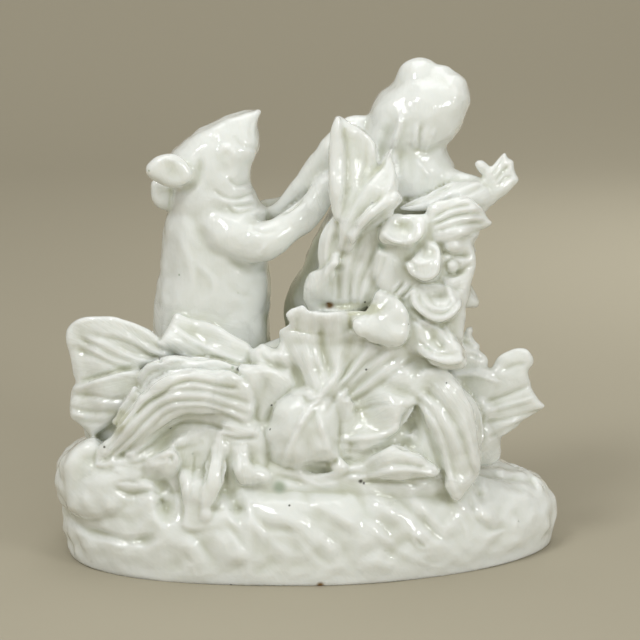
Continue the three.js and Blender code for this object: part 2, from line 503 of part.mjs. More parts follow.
// A closed solid from a geometry: shared corners merged and faces without area left out
function toSolid(geometry) {
  geometry.deleteAttribute('normal');
  geometry.deleteAttribute('uv');
  const merged = mergeVertices(geometry, 1e-4);
  const corners = [];
  const index = merged.index.array;
  for (let i = 0; i < index.length; i += 3) {
    const [a, b, c] = [index[i], index[i + 1], index[i + 2]];
    if (a !== b && b !== c && c !== a) corners.push(a, b, c);
  }
  return new wasm.Manifold(new wasm.Mesh({
    numProp: 3,
    vertProperties: new Float32Array(merged.attributes.position.array),
    triVerts: new Uint32Array(corners),
  }));
}

// The outside of the joined forms alone, without the pockets that the plants close off inside
function outerSkin(solid) {
  const { vertProperties, triVerts } = solid.getMesh();
  const owner = Array.from({ length: vertProperties.length / 3 }, (_, i) => i);
  const find = (i) => {
    while (owner[i] !== i) {
      owner[i] = owner[owner[i]];
      i = owner[i];
    }
    return i;
  };
  for (let i = 0; i < triVerts.length; i += 3) {
    owner[find(triVerts[i + 1])] = find(triVerts[i]);
    owner[find(triVerts[i + 2])] = find(triVerts[i]);
  }
  const counts = new Map();
  triVerts.forEach((i) => counts.set(find(i), (counts.get(find(i)) ?? 0) + 1));
  const largest = [...counts].sort((a, b) => b[1] - a[1])[0][0];
  const geometry = new THREE.BufferGeometry();
  geometry.setAttribute('position', new THREE.BufferAttribute(vertProperties, 3));
  geometry.setIndex([...triVerts].filter((i) => find(i) === largest));
  return geometry.toNonIndexed();
}

const forms = [
  mound(), ...bank(), ...pig(), ...frog(), ...tallSpray(), ...flowers(), ...middleFlowers(),
  ...rightLeaves(), ...leftLeaves(), ...stalks(), ...leftLobe(),
];
const joined = wasm.Manifold.union(forms.map(toSolid));
const porcelain = new THREE.MeshStandardMaterial({ color: glazeWhite, roughness: 0.12, metalness: 0 });
const figureGroup = new THREE.Mesh(outerSkin(joined), porcelain);
figureGroup.name = 'porcelain_group';

const group = new THREE.Group();
group.add(figureGroup);

export default group;
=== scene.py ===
import math

import bpy
import numpy as np
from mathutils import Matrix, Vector


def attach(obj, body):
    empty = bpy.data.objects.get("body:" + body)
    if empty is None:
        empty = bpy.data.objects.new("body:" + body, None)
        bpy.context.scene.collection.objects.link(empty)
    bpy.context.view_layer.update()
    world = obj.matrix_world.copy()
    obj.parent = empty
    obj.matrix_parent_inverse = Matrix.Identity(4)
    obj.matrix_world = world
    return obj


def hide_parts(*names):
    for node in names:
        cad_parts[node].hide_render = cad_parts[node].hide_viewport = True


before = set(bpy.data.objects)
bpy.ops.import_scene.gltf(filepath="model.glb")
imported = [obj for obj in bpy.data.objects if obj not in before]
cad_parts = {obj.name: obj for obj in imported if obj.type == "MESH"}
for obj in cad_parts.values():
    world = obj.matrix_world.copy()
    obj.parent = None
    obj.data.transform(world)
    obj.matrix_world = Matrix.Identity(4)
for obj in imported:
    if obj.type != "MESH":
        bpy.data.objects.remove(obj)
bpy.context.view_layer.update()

mm = 0.001
toViewer = (0, -1, 0.25)      # the way that a limb's front faces

# Where the photograph was taken from, in millimetres and degrees
viewpoint = {
    "aim": (3.6, 0.0, 65.2),
    "distance": 620.0,
    "above": 14.0,
    "lens": 124.5,
    "sensor": 36.0,
}


def viewAxes():
    above = math.radians(viewpoint["above"])
    back = np.array([0, -math.cos(above), math.sin(above)])
    up = np.array([0, math.sin(above), math.cos(above)])
    place = np.array(viewpoint["aim"]) + viewpoint["distance"] * back
    return place, -back, up


def seenFrom(points):
    # where the photograph's camera sees each point, on the plane through the middle of the
    # group: x to the right and z up, in millimetres
    place, ahead, up = viewAxes()
    away = points - place
    depth = away @ ahead
    scale = viewpoint["distance"] / depth
    return np.stack([
        viewpoint["aim"][0] + away[:, 0] * scale,
        viewpoint["aim"][2] + (away @ up) * scale,
    ], axis=1), depth


# Curves and skins

def splineThrough(points, shares):
    # a centripetal curve through the points, and its direction, at shares of its run
    points = np.asarray(points, float)
    first = 2 * points[0] - points[1]
    last = 2 * points[-1] - points[-2]
    knots = np.vstack([first, points, last])
    count = len(points) - 1
    place = np.clip(shares, 0, 1) * count
    part = np.minimum(place.astype(int), count - 1)
    rest = place - part
    p0, p1, p2, p3 = (knots[part + k] for k in range(4))
    gap = [np.maximum(np.linalg.norm(b - a, axis=1), 1e-6) ** 0.5
           for a, b in ((p0, p1), (p1, p2), (p2, p3))]
    d0, d1, d2 = (g[:, None] for g in gap)
    m1 = ((p1 - p0) / d0 - (p2 - p0) / (d0 + d1) + (p2 - p1) / d1) * d1
    m2 = ((p2 - p1) / d1 - (p3 - p1) / (d1 + d2) + (p3 - p2) / d2) * d1
    u = rest[:, None]
    centre = (p1 + m1 * u + (-3 * p1 + 3 * p2 - 2 * m1 - m2) * u ** 2
              + (2 * p1 - 2 * p2 + m1 + m2) * u ** 3)
    ahead = m1 + 2 * (-3 * p1 + 3 * p2 - 2 * m1 - m2) * u + 3 * (2 * p1 - 2 * p2 + m1 + m2) * u ** 2
    ahead /= np.maximum(np.linalg.norm(ahead, axis=1), 1e-9)[:, None]
    return centre, ahead


def along(sizes, shares):
    # sizes read smoothly from start to end
    sizes = np.asarray(sizes, float)
    place = np.clip(shares, 0, 1) * (len(sizes) - 1)
    part = np.minimum(place.astype(int), len(sizes) - 2)
    rest = place - part
    eased = rest * rest * (3 - 2 * rest)
    return sizes[part] + (sizes[part + 1] - sizes[part]) * 0.5 * (rest + eased)


def framesOn(spine, shares, face):
    centre, ahead = splineThrough(spine, shares)
    side = np.cross(ahead, np.asarray(face, float))
    side /= np.linalg.norm(side, axis=1)[:, None]
    out = np.cross(side, ahead)
    return centre[:, None, :], side[:, None, :], out[:, None, :]


def skin(rings):
    # closes a stack of rings into one skin of four-sided faces
    steps, around = rings.shape[0], rings.shape[1]
    row = np.arange(steps - 1)[:, None] * around
    here = np.arange(around)[None, :]
    there = (here + 1) % around
    faces = np.stack([row + here, row + there, row + around + there, row + around + here], axis=-1)
    points = rings.reshape(-1, 3)
    foot, lid = len(points), len(points) + 1
    caps = [[(k + 1) % around, k, foot] for k in range(around)]
    top = (steps - 1) * around
    caps += [[top + k, top + (k + 1) % around, lid] for k in range(around)]
    points = np.vstack([points, rings[0].mean(axis=0), rings[-1].mean(axis=0)])
    return points, faces.reshape(-1, 4), np.array(caps)


def limb(spine, radii, face=toViewer, flat=1.0, blunt=2.6, around=40, steps=56):
    share = 0.5 - 0.5 * np.cos(np.pi * np.linspace(0, 1, steps))
    centre, side, out = framesOn(spine, share, face)
    cap = np.maximum(1 - np.abs(2 * share - 1) ** blunt, 0) ** (1 / blunt)
    radius = (along(radii, share) * cap)[:, None, None]
    turn = np.linspace(0, 2 * np.pi, around, endpoint=False)[None, :, None]
    return skin(centre + side * radius * np.cos(turn) + out * radius * flat * np.sin(turn))


def knob(centre, size, around=32, steps=20):
    tilt = np.linspace(0, np.pi, steps)[:, None]
    turn = np.linspace(0, 2 * np.pi, around, endpoint=False)[None, :]
    rings = np.stack([
        centre[0] + size[0] * np.sin(tilt) * np.cos(turn),
        centre[1] + size[1] * np.sin(tilt) * np.sin(turn),
        centre[2] - size[2] * np.cos(tilt) * np.ones_like(turn),
    ], axis=-1)
    return skin(rings)


def atDepth(seen, depth):
    # the point at a depth y that the photograph's camera sees at (x, z) of the middle plane
    place = viewAxes()[0]
    seen = np.asarray(seen, float)
    depth = np.broadcast_to(np.asarray(depth, float), seen.shape[:-1])
    share = 1 - depth / place[1]
    x = place[0] + (seen[..., 0] - place[0]) * share
    z = place[2] + (seen[..., 1] - place[2]) * share
    return np.stack([x, depth, z], axis=-1)


def closedCurve(points, between=6):
    # a smooth closed line through the points of an outline
    points = np.asarray(points, float)
    share = (np.arange(between) / between)[None, :, None]
    before, here, after, beyond = (np.roll(points, k, axis=0)[:, None, :] for k in (1, 0, -1, -2))
    curve = 0.5 * (2 * here + (after - before) * share
                   + (2 * before - 5 * here + 4 * after - beyond) * share ** 2
                   + (3 * here - before - 3 * after + beyond) * share ** 3)
    return curve.reshape(-1, 2)


def toLine(points, line, closed=False):
    # how far each point is from a line, the nearest place on it, and that place's share of its run
    start = line if closed else line[:-1]
    step = (np.roll(line, -1, axis=0) if closed else line[1:]) - start
    away = points[:, None, :] - start[None, :, :]
    size = np.maximum((step ** 2).sum(axis=1), 1e-9)
    part = np.clip((away * step[None]).sum(axis=2) / size[None], 0, 1)
    gap = away - part[..., None] * step[None]
    distance = np.sqrt((gap ** 2).sum(axis=2))
    nearest = distance.argmin(axis=1)
    rows = np.arange(len(points))
    part = part[rows, nearest]
    run = np.concatenate([[0], np.cumsum(np.sqrt(size))])
    share = (run[nearest] + part * np.sqrt(size[nearest])) / run[-1]
    return distance[rows, nearest], points - gap[rows, nearest], share


def inOutline(points, line):
    after = np.roll(line, -1, axis=0)
    x, z = points[:, 0][:, None], points[:, 1][:, None]
    crosses = (line[None, :, 1] > z) != (after[None, :, 1] > z)
    rise = np.where(np.abs(after[:, 1] - line[:, 1]) < 1e-9, 1e-9, after[:, 1] - line[:, 1])
    meets = line[None, :, 0] + (z - line[None, :, 1]) * ((after[:, 0] - line[:, 0]) / rise)[None]
    return (crosses & (x < meets)).sum(axis=1) % 2 == 1


def spread(points, anchors):
    # a depth blended from the anchors' depths, nearer anchors counting more
    if np.isscalar(anchors):
        return np.full(len(points), float(anchors))
    anchors = np.atleast_2d(np.asarray(anchors, float))
    gap = ((points[:, None, :] - anchors[None, :, :2]) ** 2).sum(axis=2) + 4.0
    weight = gap ** -1.5
    return (weight * anchors[None, :, 2]).sum(axis=1) / weight.sum(axis=1)


def plate(outline, depth, thick=2.5, edge=2.5, crown=0.0, behind=3.0, grain=0.55):
    # a leaf or petal pressed flat on the mass: its outline as the photograph shows it, the depth
    # of its face from anchors (x, z, depth), a rounded edge, and a body that sinks in behind
    line = closedCurve(outline)
    low, high = line.min(axis=0) - 2 * grain, line.max(axis=0) + 2 * grain
    xs, zs = (np.arange(a, b + grain, grain) for a, b in zip(low, high))
    grid = np.stack(np.meshgrid(xs, zs, indexing="ij"), axis=-1).reshape(-1, 2)
    within = inOutline(grid, line)
    distance, nearest, _ = toLine(grid, line, closed=True)
    grid = np.where(within[:, None], grid, nearest)
    distance = np.where(within, distance, 0)
    rounding = np.sqrt(1 - (1 - np.minimum(distance / edge, 1)) ** 2)
    lift = thick * rounding + crown * (distance / max(distance.max(), 1e-6)) ** 0.8
    middle = spread(grid, depth)
    front = atDepth(grid, middle - lift)
    back = atDepth(grid, middle + behind * rounding)
    tall = len(zs)
    inside = within.reshape(len(xs), tall)
    cell = inside[:-1, :-1] | inside[1:, :-1] | inside[:-1, 1:] | inside[1:, 1:]
    i, j = np.nonzero(cell)
    near, far = i * tall + j, (i + 1) * tall + j
    corners = np.stack([near, far, far + 1, near + 1], axis=1)
    behindIndex = np.where(within, np.arange(len(grid)) + len(grid), np.arange(len(grid)))
    faces = np.vstack([corners, behindIndex[corners][:, ::-1]])
    return np.vstack([front, back]), faces, np.empty((0, 3), int)


def platesOf(forms):
    return [plate(**form) for form in forms.values()]


def stack(levels, around=72, between=8):
    # a body of level rings: each level has its height, its left and right sides as the photograph
    # shows them, its front and back, and how square it is
    levels = np.asarray(levels, float)
    rows = splineThrough(levels, np.linspace(0, 1, between * (len(levels) - 1) + 1))[0]
    middle = 0.5 * (rows[:, 3] + rows[:, 4])
    left = atDepth(rows[:, [1, 0]], middle)
    right = atDepth(rows[:, [2, 0]], middle)
    turn = np.linspace(0, 2 * np.pi, around, endpoint=False)[None, :]
    power = (2 / rows[:, 5])[:, None]
    across = np.sign(np.cos(turn)) * np.abs(np.cos(turn)) ** power
    deep = np.sign(np.sin(turn)) * np.abs(np.sin(turn)) ** power
    centre = 0.5 * (left[:, 0] + right[:, 0])[:, None]
    x = centre + 0.5 * (right[:, 0] - left[:, 0])[:, None] * across
    y = middle[:, None] + 0.5 * (rows[:, 4] - rows[:, 3])[:, None] * deep
    z = left[:, 2][:, None] * np.ones_like(turn)
    return skin(np.stack([x, y, z], axis=-1))


# The forms, in millimetres

moundShape = {
    "length": 141.0,
    "depth": 76.0,
    "centre": 0.8,
    "shoulder": 24.0,
    "leftFullness": 2.7,
    "rightFullness": 1.75,
    "leftEnd": (38, 62),      # where the left end rises, and by what share of the shoulder
    "leftRise": 0.22,
    "rightEnd": (30, 66),     # where the right end sinks
    "rightFall": 0.12,
    "waveFront": (5, 30),     # the waves run on the front alone
    "waveHeight": 0.4,
    "waveTurns": 0.36,
    "waveSlant": 5.2,
    "waveDepth": 0.028,
}


def smoothstep(value, low, high):
    share = np.clip((value - low) / (high - low), 0, 1)
    return share * share * (3 - 2 * share)


def mound():
    shape = moundShape
    profile = np.array([
        (0.03, 0), (0.5, 0), (0.95, 0), (0.97, 0), (0.985, 0.12), (1.0, 0.35), (0.985, 0.62),
        (0.93, 0.86), (0.82, 1.0), (0.5, 1.08), (0.03, 1.12),
    ])
    share = np.linspace(0, 1, 90)
    profile = splineThrough(np.column_stack([profile, np.zeros(len(profile))]), share)[0]
    reach, up = profile[:, 0][:, None], np.maximum(profile[:, 1], 0)[:, None]
    turn = np.linspace(0, 2 * np.pi, 240, endpoint=False)[None, :]
    across = np.cos(turn)
    fullness = np.where(across < 0, shape["leftFullness"], shape["rightFullness"])
    edge = (np.abs(across / (shape["length"] / 2)) ** fullness
            + np.abs(np.sin(turn) / (shape["depth"] / 2)) ** fullness) ** (-1 / fullness)
    x, y = reach * edge * across, reach * edge * np.sin(turn)
    atLeft = smoothstep(-x, *shape["leftEnd"])
    atRight = smoothstep(x, *shape["rightEnd"])
    front = smoothstep(-y, *shape["waveFront"])
    sides = np.sin(np.pi * np.minimum(1, up)) * reach
    swing = np.sin(x * shape["waveTurns"] + up * shape["waveSlant"]) - 1
    waves = shape["waveHeight"] * sides * front * swing
    height = shape["shoulder"] * (1 + shape["leftRise"] * atLeft - shape["rightFall"] * atRight)
    rings = np.stack([
        shape["centre"] + x,
        y * (1 + shape["waveDepth"] * waves),
        up * (height + waves),
    ], axis=-1)
    return [skin(rings)]


# The earth behind the plants, which joins them to the mound and to the figures: the middle line of
# each bank, its radii and how deep it is against its height
banks = {
    "leftBank": ([(-62, -8, 34), (-48, -9, 38), (-30, -10, 38), (-12, -10, 43), (4, -11, 44)],
                 [9, 14, 15, 15, 14], 0.8),
    "rightBank": ([(-8, -12, 36), (14, -12, 38), (30, -12, 39), (45, -9, 34), (53, -6, 26)],
                  [16, 16, 15, 11, 6], 0.85),
    "flowerCore": ([(18, -8, 36), (23, -8, 56), (26, -7, 74), (28, -5, 92)], [13, 14, 13, 9], 0.6),
    "stemCore": ([(9, -7, 54), (9, -8, 76), (12, -7, 98)], [7, 7, 4.5], 1.0),
    "frontBank": ([(-44, -18, 24), (-22, -20, 25), (4, -21, 25), (26, -21, 25), (46, -17, 22)],
                  [8, 8.5, 9, 9, 8], 1.0),
    "archCore": ([(-44, -15, 34), (-26, -16, 37), (-10, -16, 39)], [7, 8, 7], 1.0),
    "strapCore": ([(24, -15, 46), (38, -17, 44), (45, -17, 30)], [8, 8, 7], 1.0),
    "throatCore": ([(-16, -10, 52), (-6, -11, 56), (4, -12, 58)], [6, 7, 7], 1.0),
    "columnCore": ([(30, -9, 58), (36, -8, 72), (40, -7, 88)], [7, 8, 6], 1.0),
}


def bank():
    return [limb(spine, radii, flat=flat) for spine, radii, flat in banks.values()]


# Each level of a body: its height, its left and right sides, its front and back, and how square
# it is, in millimetres
pigLevels = [
    (42, -38, -14, -8, 16, 2.3), (52, -42.6, -10.4, -12, 20, 2.3), (61, -43, -10.5, -12.5, 20, 2.3),
    (68, -42.9, -10.4, -12, 20, 2.3), (74, -42.3, -10.1, -11.5, 19.5, 2.3),
    (80, -41, -10.6, -11, 19, 2.3), (86, -40.3, -10.8, -10.5, 18, 2.3), (92, -39.7, -11, -10, 17, 2.3),
    (97, -38.2, -11.6, -9, 15.5, 2.3), (101, -37.6, -14, -8.5, 14.5, 2.3),
    (105, -37.6, -15.4, -8, 14, 2.4), (109, -38, -15, -7.5, 13.5, 2.5),
    (112.5, -37.3, -13.9, -6.8, 13, 2.6), (115.5, -34.3, -13, -5.5, 12.4, 2.8),
    (118.4, -30.5, -13.3, -3.6, 11.8, 3), (120.6, -26, -13.6, -2, 11.2, 3),
    (122.6, -21.6, -13, -0.6, 10.4, 2.8), (124.2, -17, -12.8, 1, 9, 2.6),
]


def pig():
    figure = stack(pigLevels)
    upperArm = limb([(-33, 2, 95), (-27, -2.5, 93), (-20, -6, 90.5), (-14, -9, 89)],
                    [4, 7, 7.8, 6.6], blunt=5)
    foreArm = limb([(-19, -8, 88.5), (-12, -9.5, 89.5), (-6, -8.5, 92.5), (1, -5, 97.6),
                    (5, -1, 103), (7, 3.5, 107)], [6, 5.8, 4.4, 4, 3.6, 3], blunt=4)
    farArm = limb([(-20, 13, 92), (-12, 13, 92), (-6, 9, 95), (0, 5, 101)], [6, 5, 4, 3.6])
    haunches = [knob(place, (10, 8, 12)) for place in ((-31, -4, 54), (-25, 13, 50))]
    legs = [limb([(x, y, 46), (x + 1, y + 1, 36), (x + 4, y + 1, 24)], [8, 5.6, 3.8])
            for x, y in ((-31, -1), (-24, 14))]
    return [figure, upperArm, foreArm, farArm, *haunches, *legs]


# Plates: the outline (x, z) as the photograph shows it, the depth of the face at points (x, z, y),
# and thicknesses, in millimetres
pigPlates = {
    "snoutTip": dict(
        outline=[(-22, 120.5), (-17, 123), (-12.9, 124.6), (-13.1, 122), (-13.7, 119.8), (-13.3, 117.2),
            (-12.9, 115), (-13.5, 112.6), (-15, 112), (-19, 114)],
        depth=6, thick=5.6, edge=2.4, behind=5),
    "nearEar": dict(
        outline=[(-37, 112.4), (-39, 112.2), (-41.8, 111.2), (-44, 109), (-44.2, 107), (-42.6, 105),
            (-39.8, 103.2), (-37, 102.6), (-34, 103), (-32, 104.5), (-31.5, 107), (-33, 109.5),
            (-35, 111.5)],
        depth=[(-43, 108, -9), (-34, 108, -7.5)], thick=2.4, edge=2.2, behind=2.5),
    "farEar": dict(
        outline=[(-42, 104.8), (-43, 102.5), (-42.8, 99.5), (-40.8, 97), (-38.6, 96.2), (-37.2, 98),
            (-37, 102), (-38.5, 104.5)],
        depth=3, thick=2.2, edge=2, behind=2.5),
}


def pigTrim():
    tail = limb([(-38, 9, 52), (-43, 10, 53), (-45, 12, 57), (-42, 13, 58)], [2, 1.8, 1.5, 1.2])
    eyes = [knob(place, (1.6, 1.2, 2.4)) for place in ((-22.6, -4.2, 112.6), (-21, 13, 111.5))]
    return platesOf(pigPlates) + [tail, *eyes]


frogLevels = [
    (60, 0, 26, -1, 18, 2.3), (66, -4, 30, -4, 21, 2.3), (73, -4.6, 34, -5, 21, 2.3),
    (80, -1.6, 36, -5, 21, 2.3), (87, 1.2, 38, -5, 20, 2.3), (94, 5, 39.6, -5, 20, 2.3),
    (100, 8, 40.6, -5.5, 20, 2.3), (105, 11, 41, -6, 20, 2.3), (109, 12.5, 40.6, -5.5, 19.5, 2.3),
    (112, 13, 39.2, -4.6, 19, 2.2), (114.6, 13.4, 38.3, -4.2, 19, 2.2),
    (117, 14.2, 40.2, -4.6, 19.6, 2.3), (120, 15.4, 42.2, -5, 20.4, 2.4),
    (124, 17.2, 43.8, -5, 21, 2.5), (128, 19.2, 44.6, -4, 21, 2.6), (131, 22.6, 44, -2, 20, 2.6),
    (133.4, 25.5, 41, 1, 18, 2.4), (135, 28.5, 37, 4, 15, 2.2),
]


def frog():
    figure = stack(frogLevels)
    eyes = [knob((31.2, 9, 130.6), (7.2, 7, 7.1)), knob((39.4, 6, 129.2), (5.2, 6, 5.2))]
    brow = knob((36.2, 8, 130.8), (5.8, 6.4, 5.2))
    shoulder = limb([(30, 7, 104), (22, 7, 112), (14.5, 7, 118.5)], [9, 7, 3.8])
    heldArm = limb([(22, 8, 114), (14, 6, 118.5), (9, 4, 115), (3, 4, 108), (-2, 4, 101.5),
                    (-7, 5, 96), (-12, 6, 94.5)], [6, 4.4, 4, 3.7, 3.5, 3.2, 3])
    raisedArm = limb([(34, 2, 101), (40, 0, 103.5), (45, -1, 102.5), (49, -0.5, 101.5),
                      (53, 0, 103)], [6, 5, 4.2, 4, 3.6])
    sleeve = limb([(33, -6, 97), (40, -7, 100.5), (46, -5, 101.5), (52, -2, 99)], [4, 4.6, 4, 2.4])
    thighs = [
        limb([(15, 8, 79), (5, 9, 74), (-0.5, 9, 67), (-3, 10, 57)], [8, 7.6, 6.4, 5]),
        limb([(16, 10, 68), (20, 19, 64), (19, 24, 54)], [10, 7.5, 5]),
    ]
    shins = [limb([(x, y, z), (x + 1, y + 3, 42), (x, y + 1, 26)], [5, 4.2, 3.4])
             for x, y, z in ((-4, 10, 60), (19, 23, 57))]
    feet = [knob((x, y, 27), (4.4, 6, 1.8)) for x, y in ((-4, 16), (19, 26))]
    return [figure, *eyes, brow, shoulder, heldArm, raisedArm, sleeve, *thighs, *shins, *feet]


frogPlates = {
    "hand": dict(
        outline=[(41.5, 104.5), (44.3, 104.6), (46.6, 103.6), (47.9, 105.3), (48.5, 106.2),
            (47.6, 107.6), (46.5, 109.2), (46.8, 110.3), (47.9, 110.6), (49, 109.9), (50.1, 108.7),
            (51, 109), (52.1, 110.4), (53.2, 111.7), (54.5, 112.7), (55.3, 111.1), (56.6, 110.4),
            (57.1, 108.7), (57.7, 106.7), (58.4, 104.8), (56.6, 102.4), (54.1, 100.5), (52.1, 98.9),
            (50.4, 97.4), (49, 95.7), (45.7, 96), (41.5, 96.5), (37.3, 96.8), (33.1, 96.4),
            (28.5, 96.4), (25.5, 97), (28, 98.6), (31.5, 100.2), (35, 102), (38.9, 103.8)],
        depth=[(26.5, 97, -11), (33, 99, -10.5), (38.5, 101.5, -8), (45.5, 101.5, -4), (50, 105, -1.5),
            (55.5, 109, 0)], thick=2.6, edge=2, behind=3.4, grain=0.4),
}

tallSpray = {
    "tallLeaf": dict(
        outline=[(8.5, 123), (7.5, 122), (6.5, 118), (6, 114.5), (6, 105.5), (6.5, 99), (8, 93),
            (10, 90), (12.5, 94.5), (16.5, 100), (19, 105), (19.5, 109.5), (19, 114.5), (15.5, 118.5),
            (12.5, 120.5), (10.5, 122)],
        depth=[(8.5, 123, -13), (6, 105.5, -15), (12, 96.5, -17), (19.5, 113.5, -12)],
        thick=2.6, edge=3, behind=2),
    "tallLeafEdge": dict(
        outline=[(8.5, 123), (7.5, 122), (6.5, 118), (6, 114.5), (6, 105.5), (6.5, 99), (8, 93),
            (10, 97), (11, 105), (11, 112), (10, 119), (9.5, 122)],
        depth=[(8.5, 123, -15.5), (8, 93, -19)], thick=1.8, edge=2, behind=2),
    "innerLeaf": dict(
        outline=[(24, 114.5), (23, 111), (24.5, 107.5), (25, 104.5), (25, 100.5), (23.5, 95.5),
            (20.5, 93), (15.5, 89), (11.5, 84.5), (9, 86), (8.5, 90), (9, 95), (11.5, 99), (15.5, 104),
            (19, 108), (21.5, 112)],
        depth=[(23.5, 113.5, -13), (15, 99, -18), (10.5, 88, -19)], thick=2.4, edge=2.5, behind=4),
    "rolledLeaf": dict(
        outline=[(25, 101.5), (22, 101), (19.5, 99.5), (16.5, 97.5), (14.5, 95), (12, 91), (11, 88.5),
            (12.5, 86.5), (15, 89.5), (17.5, 92.5), (21.5, 95.5), (25, 97.5), (26.5, 99.5)],
        depth=[(25.5, 100, -18), (15.5, 95, -22), (12, 89, -21)], thick=3.6, edge=2.6, behind=2),
    "stemColumn": dict(
        outline=[(8, 94.5), (5.5, 93), (3.5, 88.5), (3, 83), (3, 78.5), (2, 73.5), (3, 68.5),
            (5.5, 65.5), (10.5, 64.5), (19.5, 70), (25, 75.5), (27, 81.5), (27, 86.5), (24, 90),
            (20, 93), (13.5, 93)],
        depth=[(9, 92, -14), (3.5, 70.5, -14), (20.5, 85, -15), (15, 65, -15)],
        thick=4, edge=4, behind=7),
    "lowLeaf": dict(
        outline=[(7.5, 95), (5.5, 93), (3.5, 88.5), (3, 83), (3, 78.5), (5, 76.5), (7.5, 80),
            (8.5, 86.5), (9, 91.5)],
        depth=[(5.5, 92, -16), (3.5, 85, -16), (3.5, 78.5, -15)], thick=2.8, edge=3, behind=5),
    "sidePetal": dict(
        outline=[(4, 80), (1, 79), (-0.5, 76.5), (-1, 73.5), (-1, 70.5), (1, 67), (4, 67), (6.5, 70.5),
            (8, 77.5), (9, 83), (7.5, 84), (5.5, 81.5)],
        depth=[(1, 78.5, -16), (1.5, 68, -15), (6.5, 80.5, -19)],
        thick=2.6, edge=3, crown=0.8, behind=4),
}

